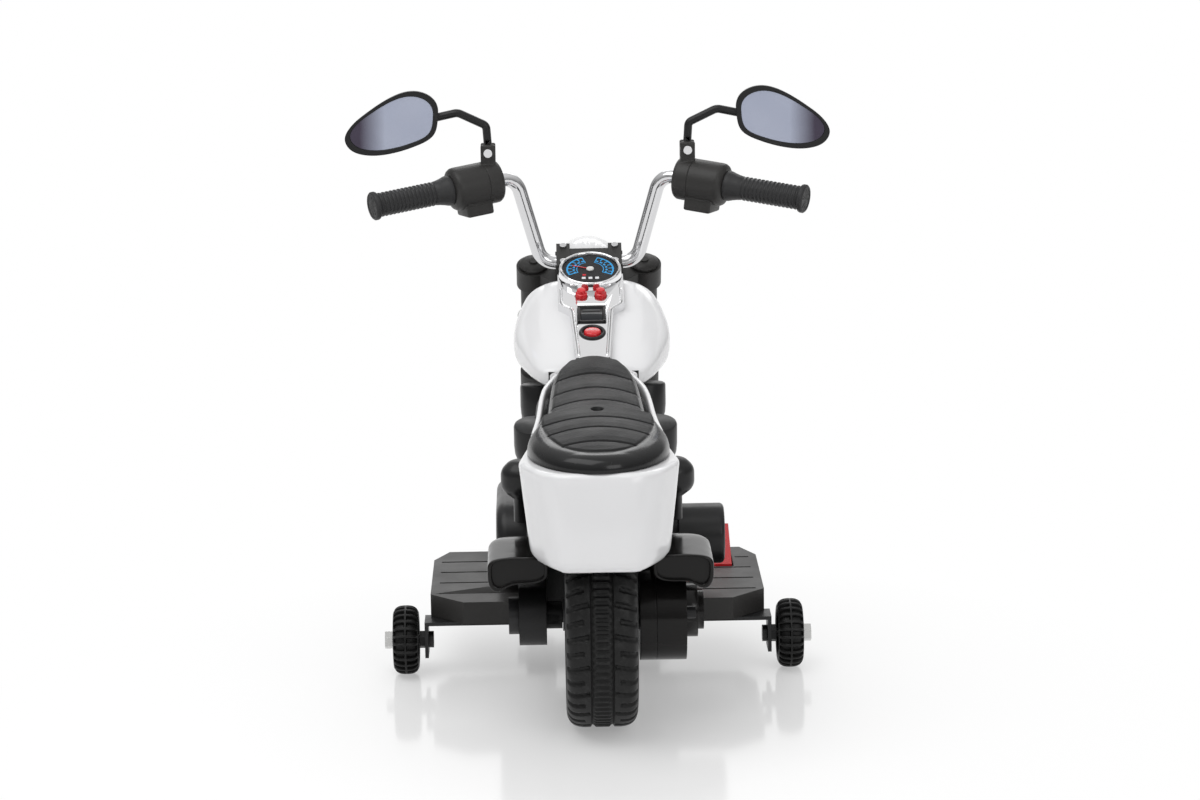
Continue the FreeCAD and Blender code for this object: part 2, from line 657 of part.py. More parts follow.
def tank_form(inset):
    """Teardrop solid through its stations, drawn in by the inset all round."""
    span = s.tank_front_top_z - s.tank_low_z
    rise = s.tank_front_top_z - s.tank_rear_top_z
    wires = []
    for place, wide, low, top in zip(TANK_STATION_SHARES, TANK_WIDTH_SHARES, TANK_LOW_SHARES, TANK_TOP_SHARES):
        y = tank_rear_y + inset + (s.tank_len - inset * 2) * place
        half = s.tank_w / 2 * wide - inset
        bottom = s.tank_low_z + span * low + inset
        ceiling = s.tank_rear_top_z + rise * top - inset
        wires.append(oval_wire(float(y), float(half), float(bottom), float(ceiling)))
    return Part.makeLoft(wires, True)


def chassis_envelope(name, gap):
    """The space that the tray fills, with a gap on both sides and on top."""
    body = padded(name, "YZ_Plane", chassis_outline(), (s.chassis_half + gap) * 2, midplane=True)
    return body


def fuel_tank():
    outer = shaped("tank_outer", tank_form(as_size(0)))
    inner = shaped("tank_inner", tank_form(s.tank_wall))
    room = box("tank_saddle", (-s.chassis_half - s.fit_gap, s.seat_front_y - s.cut_over, s.chassis_floor_z),
               (s.chassis_half + s.fit_gap, s.chassis_front_y + s.fit_gap, s.chassis_top_z + s.fit_gap))
    neck = box("tank_neck_room", (-s.neck_half - s.fit_gap, s.chassis_front_y - s.chassis_wall, s.chassis_floor_z),
               (s.neck_half + s.fit_gap, head_y, steer_point(-s.sleeve_top, -s.neck_ahead)[1] + s.fit_gap))
    node("fuel_tank", cut("tank_solid", outer, inner, room, neck))
    return outer


def on_deck(thing):
    """Stand a piece drawn flat on the deck of the console."""
    return tilt_about_x(thing, deck_tilt, tank_rear_y, deck_z)


def dash_console(tank_outer):
    wide = s.console_wide_half
    neck = s.console_neck_half
    flare = s.console_step + wide - neck
    plate = padded("console_plate", "XY_Plane", [
        (-s.console_half, 0), (s.console_half, 0), (neck, s.console_step), (wide, flare),
        (wide, s.dial_along), (-wide, s.dial_along), (-wide, flare), (-neck, s.console_step),
    ], s.console_depth, offset=-s.console_depth)
    rim = s.dial_rise + s.dial_proud
    pod = cylinder("dial_pod", "Z", s.dial_r, -s.dial_under, rim, 0, s.dial_along)
    recess = cylinder("dial_recess", "Z", s.dial_r - s.dial_rim, s.dial_rise, rim + s.cut_over,
                      0, s.dial_along)
    deep = -s.console_depth - s.cut_over
    holes = [recess, cylinder("switch_hole", "Z", s.barrel_r + s.fit_gap, deep, s.cut_over, 0, s.switch_along)]
    for name, x in (("horn", -s.button_x), ("music", s.button_x)):
        holes.append(cylinder(name + "_hole", "Z", s.button_r + s.run_gap, deep, s.cut_over, x, s.button_along))
    half_w = s.player_w / 2 + s.fit_gap
    half_l = s.player_l / 2 + s.fit_gap
    holes.append(box("player_hole", (-half_w, s.player_along - half_l, -s.player_deep - s.fit_gap),
                     (half_w, s.player_along + half_l, s.cut_over)))
    flat = on_deck(cut("console_flat", fuse("console_joined", plate, pod), *holes))
    node("dash_console", cut("console_solid", flat, tank_outer))


def deck_node(label, thing):
    node(label, thing, tank_rear_y, deck_z, deck_tilt)


def dash_fittings():
    deck_node("gauge_face", cylinder("gauge_disc", "Z", s.dial_r - s.dial_rim - s.fit_gap, s.dial_rise,
                                     s.dial_rise + s.gauge_t, 0, s.dial_along))
    deck_node("music_player", box("player_block", (
        -s.player_w / 2, s.player_along - s.player_l / 2, -s.player_deep,
    ), (s.player_w / 2, s.player_along + s.player_l / 2, s.player_proud)))
    for label, x in (("horn_button", -s.button_x), ("music_button", s.button_x)):
        deck_node(label, cylinder(label + "_solid", "Z", s.button_r, -s.button_deep, s.button_proud,
                                  x, s.button_along))
    bore = s.rocker_r + s.run_gap
    ring = revolved("bezel_ring", "Z", [
        (bore, -s.barrel_deep), (s.barrel_r, -s.barrel_deep), (s.barrel_r, 0), (s.bezel_r, 0),
        (s.bezel_r, s.bezel_proud), (bore, s.bezel_proud),
    ])
    bind(ring, "Placement.Base.y", s.switch_along)
    pivot = cylinder("bezel_pivot", "X", s.trunnion_r + s.shaft_gap, -s.trunnion_reach - s.fit_gap,
                     s.trunnion_reach + s.fit_gap, s.switch_along, 0)
    deck_node("power_switch_bezel", cut("bezel_solid", ring, pivot))


def power_switch_rocker():
    """A waisted button, so that it turns in its round bezel; it rests tipped to one side."""
    band = s.trunnion_r + s.fit_gap
    low_r, high_r = (s.rocker_r * share for share in ROCKER_SHARES)
    button = revolved("rocker_button", "Z", [
        (0, -s.rocker_deep), (low_r, -s.rocker_deep), (s.rocker_r, -band), (s.rocker_r, band),
        (high_r, s.rocker_proud), (0, s.rocker_proud),
    ])
    tilt_about_x(button, s.rocker_tilt, as_size(0), as_size(0))
    pivot = cylinder("rocker_pivot", "X", s.trunnion_r, -s.trunnion_reach, s.trunnion_reach, 0, 0)
    rocker = fuse("rocker_solid", button, pivot)
    y = tank_rear_y + s.switch_along * cosine(deck_tilt)
    z = deck_z + s.switch_along * sine(deck_tilt)
    node("power_switch_rocker", rocker, y, z, deck_tilt)


# Seat and rear fender


def crowned_wire(y, half_low, half_top, low, top, corner, crown):
    """Section of a pad: flat base, leaning sides, round upper corners and a crowned top."""
    turn = corner * (1 - math.sqrt(HALF_SHARE))
    right = [Vector(half_low, y, low), Vector(half_top, y, top - corner),
             Vector(half_top - turn, y, top - turn), Vector(half_top - corner, y, top)]
    left = [Vector(-point.x, y, point.z) for point in right]
    edges = [
        Part.LineSegment(left[0], right[0]).toShape(),
        Part.LineSegment(right[0], right[1]).toShape(),
        Part.Arc(right[1], right[2], right[3]).toShape(),
        Part.Arc(right[3], Vector(0, y, top + crown), left[3]).toShape(),
        Part.Arc(left[3], left[2], left[1]).toShape(),
        Part.LineSegment(left[1], left[0]).toShape(),
    ]
    return Part.Wire(edges)


def pad_form(stations, inset):
    """Ruled solid through pad sections (y, low half, top half, base, rise), drawn in by the inset."""
    wires = []
    for y, half_low, half_top, base, rise in stations:
        corner = min(float(s.seat_corner), float(rise) * HALF_SHARE)
        low = float(base) - (float(s.cut_over) if inset else 0)
        top = float(base) + float(rise) - inset
        wires.append(crowned_wire(float(y), float(half_low) - inset, float(half_top) - inset, low, top,
                                  corner, float(s.seat_crown)))
    return Part.makeLoft(wires, True, True)


def rail_height(y):
    """Height of the sloping rail under the rider's pad."""
    share = (y - s.rail_rear_y) / (s.seat_front_y - s.rail_rear_y)
    return between(s.seat_base_z, s.rail_front_z, share)


def seat_stations():
    """Sections of the pillion pad and of the rider's pad, from back to front."""
    base = s.seat_base_z + s.fit_gap
    rear_y = -fender_back(s.seat_base_z)
    pillion = [
        (rear_y, s.seat_tail_half, s.seat_tail_half - s.tail_rise, base, s.tail_rise),
        (rear_y + s.shoulder_len, s.seat_shoulder_half, s.seat_shoulder_half - s.tail_rise, base, s.shoulder_rise),
        (rear_y + s.seat_rear_len, s.seat_rear_half, s.seat_rear_top_half, base, s.seat_rear_rise),
        (s.pillion_y, s.pillion_half, s.pillion_top_half, base, s.pillion_rise),
    ]
    rider = [
        (s.pillion_y - s.lip_depth, s.rider_half, s.rider_top_half, base, s.rider_rise),
        (s.rail_rear_y, s.rider_half, s.rider_top_half, base, s.rider_rise),
        (s.rider_mid_y, s.rider_mid_half, s.rider_mid_top_half, rail_height(s.rider_mid_y) + s.fit_gap, s.rider_rise),
        (s.seat_front_y, s.seat_nose_half, s.seat_nose_top_half, s.rail_front_z + s.fit_gap, s.seat_nose_rise),
    ]
    return pillion, rider


def seat():
    """Moulded shell: raised pillion pad behind a long rider pad, with a screw boss under the lip."""
    pillion, rider = seat_stations()
    wall = float(s.seat_wall)
    outer = pad_form(pillion, 0).fuse(pad_form(rider, 0))

    def drawn_in(stations, front):
        ends = list(stations)
        ends[0] = (ends[0][0] + s.seat_wall * (0 if front else 1),) + ends[0][1:]
        ends[-1] = (ends[-1][0] - s.seat_wall,) + ends[-1][1:]
        return ends

    room = pad_form(drawn_in(pillion[2:], False), wall).fuse(pad_form(drawn_in(rider, True), wall))
    base = s.seat_base_z + s.fit_gap
    ceiling = base + s.pillion_rise - s.seat_wall
    boss = Part.makeCylinder(float(s.seat_boss_r), float(ceiling - base), mm(0, s.seat_screw_y, base))
    shell = outer.cut(room).fuse(boss.common(outer))
    shank = Part.makeCylinder(float(s.seat_screw_r + s.shaft_gap), float(s.pillion_rise * 2),
                              mm(0, s.seat_screw_y, base - s.cut_over))
    sink = Part.makeCylinder(float(s.seat_screw_head_r + s.shaft_gap), float(s.pillion_rise),
                             mm(0, s.seat_screw_y, ceiling))
    node("seat", shaped("seat_solid", shell.cut(shank).cut(sink).removeSplitter()))
    screw = revolved("seat_screw_solid", "Z", [
        (0, base), (s.seat_screw_r, base), (s.seat_screw_r, ceiling), (s.seat_screw_head_r, ceiling),
        (s.seat_screw_head_r, ceiling + s.seat_screw_head), (0, ceiling + s.seat_screw_head),
    ])
    bind(screw, "Placement.Base.y", s.seat_screw_y)
    return screw


def fender_share(z):
    return (z - s.fender_low_z) / (s.seat_base_z - s.fender_low_z)


def fender_back(z):
    """How far the fender reaches behind the rear axle at a height."""
    return s.tail_overhang - s.fender_lean * fender_share(z)


def fender_wire(z, inset, front):
    """Plan of the fender at a height: flat centre panel, two facets on each side and straight skirts."""
    half = between(s.fender_low_half, s.fender_top_half, fender_share(z)) - inset
    back = fender_back(z) - inset
    panel = s.fender_panel_half - inset * HALF_SHARE
    right = [mm(panel, -back, z), mm(half - s.fender_shoulder_in, s.fender_facet - back, z),
             mm(half, s.fender_flank - back, z), mm(half - s.fender_front_in, front, z)]
    left = [Vector(-point.x, point.y, point.z) for point in reversed(right)]
    corners = right + left
    return Part.makePolygon(corners + corners[:1])


def fender_form(low, high, inset, front):
    return Part.makeLoft([fender_wire(low, inset, front), fender_wire(high, inset, front)], True, True)


def rear_fender():
    none = as_size(0)
    front = s.fender_front_y
    outer = fender_form(s.fender_low_z, s.seat_base_z, none, front)
    under = fender_form(s.fender_low_z - s.cut_over, plate_z, s.fender_wall, front + s.cut_over)
    pan = fender_form(plate_top, s.seat_base_z + s.cut_over, s.fender_wall, front + s.cut_over)
    shell = shaped("fender_shell", outer.cut(under).cut(pan))
    over = s.fender_low_z - s.cut_over
    skirt = padded("skirt_cut", "YZ_Plane", [
        (-s.skirt_start_y, over), (front + s.cut_over, over), (front + s.cut_over, s.skirt_z + s.skirt_rise),
        (s.skirt_z - over - s.skirt_start_y, s.skirt_z),
    ], s.fender_top_half * 2 + s.cut_over * 2, midplane=True)
    base = cut("fender_skirted", shell, skirt)
    strip = rail_strip()
    joined = fuse("fender_joined", base, strip, mirrored("rail_strip_left", strip))
    node("rear_fender", cut("fender_solid", joined, chassis_envelope("fender_rail_room", s.fit_gap)))


def rail_strip():
    """White strip beside the rider's pad, from the fender to the tank."""
    rear = s.fender_top_half - s.fender_front_in - s.strip_w
    base = s.seat_base_z
    rows = [
        (s.fender_front_y - s.cut_over, rear, base - s.strip_h, base + s.strip_top),
        (s.rider_mid_y, s.rider_mid_half + s.fit_gap, rail_height(s.rider_mid_y) - s.strip_h,
         rail_height(s.rider_mid_y) + s.strip_top),
        (s.seat_front_y, s.seat_nose_half + s.fit_gap, s.rail_front_z + s.fit_gap,
         s.rail_front_z + s.strip_top),
    ]
    wires = []
    for y, inside, bottom, top in rows:
        outside = inside + s.strip_w
        corners = [mm(inside, y, bottom), mm(outside, y, bottom), mm(outside, y, top), mm(inside, y, top)]
        wires.append(Part.makePolygon(corners + corners[:1]))
    strip = Part.makeLoft(wires, True, True)
    pillion, rider = seat_stations()
    clear = pad_form(pillion, 0).fuse(pad_form(rider, 0))
    return shaped("rail_strip_right", strip.cut(clear))


# Shocks and exhausts


def shocks():
    """Dummy shock on each side: a domed cover on a rod, pinned to the tail."""
    foot = s.muffler_top_z + s.fit_gap
    half_r = s.shock_r / 2
    waist = s.shock_top_z - s.shock_r * 2
    dome = revolved("shock_dome", "Z", [
        (0, foot), (s.shock_rod_r, foot), (s.shock_rod_r, waist), (s.shock_r, waist + half_r),
        (s.shock_r, s.shock_top_z - half_r), (half_r, s.shock_top_z), (0, s.shock_top_z),
    ])

    def is_shoulder(edge):
        return edge.Curve.TypeId == "Part::GeomCircle" and edge.Curve.Radius > float(half_r - s.fit_gap)

    soften(dome, s.shock_round, is_shoulder)
    bind(dome, "Placement.Base.x", s.shock_x)
    bind(dome, "Placement.Base.y", s.shock_y)
    pin = cylinder("shock_pin", "X", s.shock_pin_r, side_x, s.shock_x, s.shock_y, s.shock_pin_z)
    right = fuse("shock_right", dome, pin)
    node("shocks", group("shocks_pair", right, mirrored("shock_left", right)))


def exhausts():
    body = padded("muffler", "XZ_Plane", [
        (s.muffler_in, s.muffler_low_z), (s.muffler_out, s.muffler_low_z),
        (s.muffler_out, s.muffler_top_z), (s.muffler_in, s.muffler_top_z),
    ], s.muffler_rear_y + s.muffler_front_y, offset=-s.muffler_front_y)
    soften(body, s.muffler_round, lambda edge: runs_along(edge, Y_AXIS))
    hollow_out = padded("muffler_mouth", "XZ_Plane", [
        (s.muffler_in + s.muffler_wall, s.muffler_low_z + s.muffler_wall),
        (s.muffler_out - s.muffler_wall, s.muffler_low_z + s.muffler_wall),
        (s.muffler_out - s.muffler_wall, s.muffler_top_z - s.muffler_wall),
        (s.muffler_in + s.muffler_wall, s.muffler_top_z - s.muffler_wall),
    ], s.muffler_mouth + s.cut_over, offset=s.muffler_rear_y - s.muffler_mouth)
    soften(hollow_out, s.muffler_round - s.muffler_wall, lambda edge: runs_along(edge, Y_AXIS))
    pipe = cylinder("header_pipe", "Y", s.header_r, s.muffler_front_y - s.cut_over, s.engine_rear_y - s.fit_gap,
                    s.header_x, s.header_z)
    right = cut("exhaust_right", fuse("exhaust_joined", body, pipe), hollow_out)
    node("exhausts", group("exhausts_pair", right, mirrored("exhaust_left", right)))


# Engine covers


def engine_cover(name):
    """Right cover of the dummy V engine: crankcase with two leaning cylinders and their heads."""
    rear = s.head_rear_y
    front = rear + s.head_pitch
    valley_end = s.valley_y + s.valley_len
    shelf = board_top + s.fit_gap
    low_cap = s.head_top_z - s.head_cap_h
    body = padded(name + "_case", "YZ_Plane", [
        (s.engine_rear_y, shelf), (s.engine_front_y, shelf), (s.engine_front_y, s.engine_shelf_z),
        (front + s.head_len - s.head_lean, s.engine_neck_z), (front + s.head_len, s.head_top_z - s.head_drop),
        (front, s.head_top_z), (valley_end, s.engine_valley_z), (s.valley_y, s.engine_valley_z),
        (rear + s.head_len, s.head_top_z), (rear, s.head_top_z - s.head_drop),
        (rear + s.head_lean, s.engine_neck_z), (s.engine_rear_y, s.engine_neck_z),
    ], s.engine_deep, offset=side_x)
    caps = []
    for label, start, rise, fall in (("rear", rear, s.head_drop, 0), ("front", front, 0, s.head_drop)):
        cap = padded(name + "_" + label + "_head", "YZ_Plane", [
            (start, low_cap - rise), (start + s.head_len, low_cap - fall),
            (start + s.head_len, s.head_top_z - fall), (start, s.head_top_z - rise),
        ], s.head_deep, offset=side_x)
        soften(cap, s.seat_corner, lambda edge: near(mid_point(edge).x, side_x + s.head_deep))
        caps.append(cap)
    return fuse(name + "_solid", body, *caps)


def engine_covers():
    node("engine_cover_right", engine_cover("engine_right"))
    node("engine_cover_left", mirrored("engine_left_mirrored", engine_cover("engine_left")))


def air_cleaner():
    start = side_x + s.engine_deep + s.fit_gap
    body = revolved("air_cleaner_drum", "X", [
        (start, 0), (start, s.drum_neck_r), (s.drum_in, s.drum_neck_r), (s.drum_in, s.drum_r),
        (s.drum_out, s.drum_r), (s.drum_out, 0),
    ])

    def is_face_edge(edge):
        return edge.Curve.TypeId == "Part::GeomCircle" and near(edge.Curve.Center.x, s.drum_out)

    soften(body, s.drum_round, is_face_edge)
    node("air_cleaner", body, s.drum_y, s.drum_z)


def primary_cover():
    start = side_x + s.engine_deep + s.fit_gap
    end_y = s.primary_y + s.primary_len
    top = s.primary_low_z + s.primary_h
    body = padded("primary_cover_solid", "YZ_Plane", [
        (s.primary_y, s.primary_low_z), (end_y, s.primary_low_z), (end_y, top), (s.primary_y, top),
    ], s.primary_deep, offset=-start, reverse=True)
    soften(body, s.primary_corner, lambda edge: runs_along(edge, X_AXIS))
    soften(body, s.primary_round, lambda edge: near(mid_point(edge).x, -start - s.primary_deep))
    node("primary_cover", body)


# Footboards and accelerator pedal


def footboard_body(name):
    """Right board: a moulded plate open below, with grooves across its tread."""
    body = padded(name, "XY_Plane", [
        (side_x, s.board_rear_y), (s.board_out - s.board_taper, s.board_rear_y),
        (s.board_out, s.board_rear_y + s.board_taper), (s.board_out, s.board_front_y - s.board_taper),
        (s.board_out - s.board_toe, s.board_front_y), (side_x, s.board_front_y),
    ], s.board_t, offset=s.board_low_z)
    hollow(body, s.board_wall, lambda face: near(face.CenterOfMass.z, s.board_low_z))
    start = s.board_rear_y + s.board_taper
    left = side_x + s.engine_deep + s.rib_inset
    groove = pocket(body, name + "_groove", "XY_Plane", [
        (left, start), (s.board_out - s.rib_inset, start),
        (s.board_out - s.rib_inset, start + s.rib_gap_w), (left, start + s.rib_gap_w),
    ], s.rib_gap_d, offset=board_top)
    pattern = body.newObject("PartDesign::LinearPattern", name + "_grooves")
    pattern.Originals = [groove]
    pattern.Direction = (groove.Profile[0], ["V_Axis"])
    bind(pattern, "Length", s.rib_pitch * (BOARD_GROOVES - 1))
    pattern.Occurrences = BOARD_GROOVES
    body.Tip = pattern
    return body


def pedal_room(grow, low, high, name):
    """A box round the pedal, larger than its plan by grow on each side."""
    return box(name, (s.pedal_x - grow, s.pedal_y - grow, low),
               (s.pedal_x + s.pedal_w + grow, s.pedal_y + s.pedal_len + grow, high))


def footboards():
    node("footboard_left", mirrored("footboard_left_mirrored", footboard_body("footboard_left_body")))
    well = pedal_room(s.pedal_gap + s.well_wall, s.board_low_z, board_top, "pedal_well")
    room = pedal_room(s.pedal_gap, well_floor_z, board_top + s.cut_over, "pedal_well_room")
    pin_hole = cylinder("pedal_pin_hole", "X", s.pin_r + s.shaft_gap, s.pedal_x - s.pedal_gap - s.well_wall - s.cut_over,
                        s.pedal_x + s.pedal_w + s.pedal_gap + s.well_wall + s.cut_over, pin_y, pin_z)
    joined = fuse("footboard_right_joined", footboard_body("footboard_right_body"), well)
    node("footboard_right", cut("footboard_right_solid", joined, room, pin_hole))
    return cylinder("pedal_pin_rod", "X", s.pin_r, s.pedal_x - s.pedal_gap - s.well_wall,
                    s.pedal_x + s.pedal_w + s.pedal_gap + s.well_wall, pin_y, pin_z)


def accelerator_pedal():
    end_y = s.pedal_y + s.pedal_len
    low = s.board_low_z + s.pedal_low
    body = padded("pedal_wedge", "YZ_Plane", [
        (s.pedal_y, low), (end_y, low + s.pedal_low_rise), (end_y, s.board_low_z + s.pedal_toe),
        (s.pedal_y, s.board_low_z + s.pedal_heel),
    ], s.pedal_w, offset=s.pedal_x)
    bore = cylinder("pedal_bore", "X", s.pin_r + s.shaft_gap, s.pedal_x - s.cut_over,
                    s.pedal_x + s.pedal_w + s.cut_over, pin_y, pin_z)
    node("accelerator_pedal", cut("pedal_solid", body, bore))


def pedal_underside(y):
    return s.board_low_z + s.pedal_low + s.pedal_low_rise * (y / s.pedal_len)


def tangent_arc(start, corner, end):
    """Arc from start to end that is tangent to the lines through the corner."""
    middle = (start + end) / 2
    half_turn = (corner - start).getAngle(end - corner) / 2
    share = math.cos(half_turn) / (1 + math.cos(half_turn))
    return Part.Arc(start, middle + (corner - middle) * share, end).toShape()


def biarc(start, start_way, end, end_way):
    """Two arcs that leave start and reach end along the given unit directions."""
    run = end - start
    ways = start_way + end_way
    spread = 2 * (1 - start_way.dot(end_way))
    reach = (math.sqrt(run.dot(ways) ** 2 + spread * run.dot(run)) - run.dot(ways)) / spread
    first = start + start_way * reach
    second = end - end_way * reach
    middle = (first + second) / 2
    return [tangent_arc(start, first, middle), tangent_arc(middle, second, end)]


def coil(centre, low, height, radius, turns):
    """Wire of a helix about a vertical line, as biarcs of a quarter turn."""
    quarters = turns * 4
    rise = height / quarters
    points = []
    for number in range(quarters + 1):
        angle = math.pi / 2 * number
        place = Vector(radius * math.cos(angle), radius * math.sin(angle), low + rise * number)
        way = Vector(-radius * math.sin(angle), radius * math.cos(angle), rise / (math.pi / 2)).normalize()
        points.append((centre + place, way))
    edges = []
    for (start, start_way), (end, end_way) in zip(points, points[1:]):
        edges += biarc(start, start_way, end, end_way)
    return Part.Wire(edges), points[0]


def pedal_spring():
    """Coil spring under the pedal, one helix of round wire between the well floor and the pedal."""
    low = well_floor_z + s.spring_wire + s.fit_gap
    high = pedal_underside(s.spring_y) - s.spring_wire - s.fit_gap
    centre = mm(s.pedal_x + s.pedal_w / 2, s.pedal_y + s.spring_y, 0)
    path, (start, way) = coil(centre, float(low), float(high - low), float(s.spring_r), SPRING_TURNS)
    circle = Part.Circle(start, way, float(s.spring_wire))
    wire = path.makePipeShell([Part.Wire(circle.toShape())], True, False)
    print("spring gap", round(float(high - low) / SPRING_TURNS - 2 * float(s.spring_wire), 2))
    node("pedal_spring", shaped("pedal_spring_coil", wire))


def pedal_switch():
    middle = s.pedal_x + s.pedal_w / 2
    start = s.pedal_y + s.pedal_switch_y
    node("pedal_switch", box("pedal_switch_block", (middle - s.pedal_switch_w / 2, start, well_floor_z),
                             (middle + s.pedal_switch_w / 2, start + s.pedal_switch_l,
                              well_floor_z + s.pedal_switch_h)))


# Stabilisers


def stabiliser_brackets():
    top = s.board_low_z - s.fit_gap
    body = padded("stabiliser_strip", "XZ_Plane", [
        (s.strip_in, top - s.strip_steel), (s.leaf_x, top - s.strip_steel), (s.leaf_x, s.leaf_low_z),
        (s.leaf_x + s.strip_steel, s.leaf_low_z), (s.leaf_x + s.strip_steel, top), (s.strip_in, top),
    ], s.strip_steel_w, offset=-s.stabiliser_y, midplane=True)
    hole = cylinder("stabiliser_hole", "X", s.bolt_r + s.shaft_gap, s.leaf_x - s.cut_over,
                    s.leaf_x + s.strip_steel + s.cut_over, s.stabiliser_y, s.stabiliser_r)
    right = cut("stabiliser_bracket_right", body, hole)
    node("stabiliser_brackets", group("stabiliser_brackets_pair", right, mirrored("stabiliser_bracket_left", right)))


def hex_nut(name, start, thick):
    """Hexagon nut on a stabiliser bolt."""
    prism = doc.addObject("Part::Prism", name + "_prism")
    prism.Placement = Placement(Vector(), Rotation(Y_AXIS, QUARTER_TURN))
    bind(prism, "Circumradius", s.nut_af / (2 * cosine(as_size(FULL_TURN / 12))))
    bind(prism, "Height", thick)
    bind(prism, "Placement.Base.x", start)
    bind(prism, "Placement.Base.y", s.stabiliser_y)
    bind(prism, "Placement.Base.z", s.stabiliser_r)
    hole = cylinder(name + "_thread", "X", s.bolt_r + s.shaft_gap, start - s.cut_over, start + thick + s.cut_over,
                    s.stabiliser_y, s.stabiliser_r)
    return cut(name, prism, hole)


def stabiliser_bolts():
    head = s.leaf_x - s.fit_gap
    bolt = revolved("stabiliser_bolt_right", "X", [
        (head - s.bolt_head, 0), (head - s.bolt_head, s.bolt_head_r), (head, s.bolt_head_r), (head, s.bolt_r),
        (s.bolt_end, s.bolt_r), (s.bolt_end, 0),
    ])
    bind(bolt, "Placement.Base.y", s.stabiliser_y)
    bind(bolt, "Placement.Base.z", s.stabiliser_r)
    outer = hex_nut("stabiliser_nut", s.stabiliser_start + s.stabiliser_w + s.run_gap, s.nut_t)
    jam = hex_nut("stabiliser_jam_nut", s.leaf_x + s.strip_steel + s.fit_gap, s.jam_nut_t)
    right = [bolt, outer, jam]
    left = [mirrored(piece.Name + "_left", piece) for piece in right]
    node("stabiliser_bolts", group("stabiliser_bolts_set", *right, *left))


def stabiliser_wheel(name):
    bore = s.bolt_r + s.shaft_gap
    end = s.stabiliser_start + s.stabiliser_w
    body = revolved(name, "X", [
        (s.stabiliser_start, bore), (s.stabiliser_start, s.stabiliser_r), (end, s.stabiliser_r), (end, bore),
    ])

    def is_shoulder(edge):
        return edge.Curve.TypeId == "Part::GeomCircle" and near(edge.Curve.Radius, s.stabiliser_r)

    soften(body, s.stabiliser_round, is_shoulder)
    return body


def stabiliser_wheels():
    right = stabiliser_wheel("stabiliser_wheel_solid")
    node("stabiliser_wheel_right", right, s.stabiliser_y, s.stabiliser_r)
    left = mirrored("stabiliser_wheel_mirrored", stabiliser_wheel("stabiliser_wheel_source"))
    node("stabiliser_wheel_left", left, s.stabiliser_y, s.stabiliser_r)


# Rear axle, gearbox and motor


def rear_axle():
    head = -s.arm_out - s.fit_gap
    end = s.cover_end + s.fit_gap
    body = revolved("rear_axle_rod", "X", [
        (head - s.axle_head_t, 0), (head - s.axle_head_t, s.axle_head_r), (head, s.axle_head_r),
        (head, s.axle_r), (end + s.axle_head_t, s.axle_r), (end + s.axle_head_t, 0),
    ])
    node("rear_axle", body, 0, s.tyre_r)


def gearbox():
    centre = s.tyre_r
    drum = cylinder("case_drum", "X", s.case_r, case_in, s.case_end, 0, centre)
    lug = box("case_lug", (case_in, 0, centre - s.arm_half),
              (s.case_end, s.chassis_rear_y - s.fit_gap, centre + s.arm_half))
    mouth = s.case_end + s.cut_over
    room = cylinder("case_room", "X", s.case_r - s.cover_wall, case_in + s.case_wall, mouth, 0, centre)
    nook = cylinder("pinion_room", "X", s.motor_r, case_in + s.case_wall, mouth, motor_y, motor_z)
    hub = cylinder("case_hub_hole", "X", s.hub_r + s.run_gap, case_in - s.cut_over, mouth, 0, centre)
    node("gearbox_case", cut("gearbox_case_solid", fuse("case_joined", drum, lug), room, nook, hub))
    start = s.case_end + s.fit_gap
    lid = cylinder("cover_drum", "X", s.case_r, start, s.cover_end, 0, centre)
    boss = cylinder("cover_boss", "X", s.motor_boss_r, start, s.motor_boss_end, motor_y, motor_z)
    cap = cylinder("cover_cap", "X", s.motor_cap_r, s.motor_boss_end, s.motor_cap_end, motor_y, motor_z)
    inside = cylinder("cover_room", "X", s.case_r - s.cover_wall, start - s.cut_over,
                      s.cover_end - s.cover_wall, 0, centre)
    shell = cut("cover_shell", fuse("cover_joined", lid, boss, cap), inside)
    tube = cylinder("motor_tube", "X", s.motor_tube_r, start, s.cover_end, motor_y, motor_z)
    post = cylinder("axle_post", "X", s.hub_r, start, s.cover_end, 0, centre)
    bore = cylinder("motor_bore", "X", s.motor_r + s.fit_gap, start - s.cut_over, start + s.motor_len + s.fit_gap,
                    motor_y, motor_z)
    hole = cylinder("axle_hole", "X", s.axle_r + s.shaft_gap, start - s.cut_over, s.cover_end + s.cut_over,
                    0, centre)
    node("gearbox_cover", cut("gearbox_cover_solid", fuse("cover_filled", shell, tube, post), bore, hole))


def drive_motor():
    start = s.case_end + s.fit_gap
    can = cylinder("motor_can", "X", s.motor_r, start, start + s.motor_len, motor_y, motor_z)
    hole = cylinder("motor_shaft_hole", "X", s.shaft_r + s.shaft_gap, start - s.cut_over,
                    start + s.shaft_reach + s.fit_gap, motor_y, motor_z)
    node("drive_motor", cut("drive_motor_solid", can, hole))


# Electrics inside the chassis


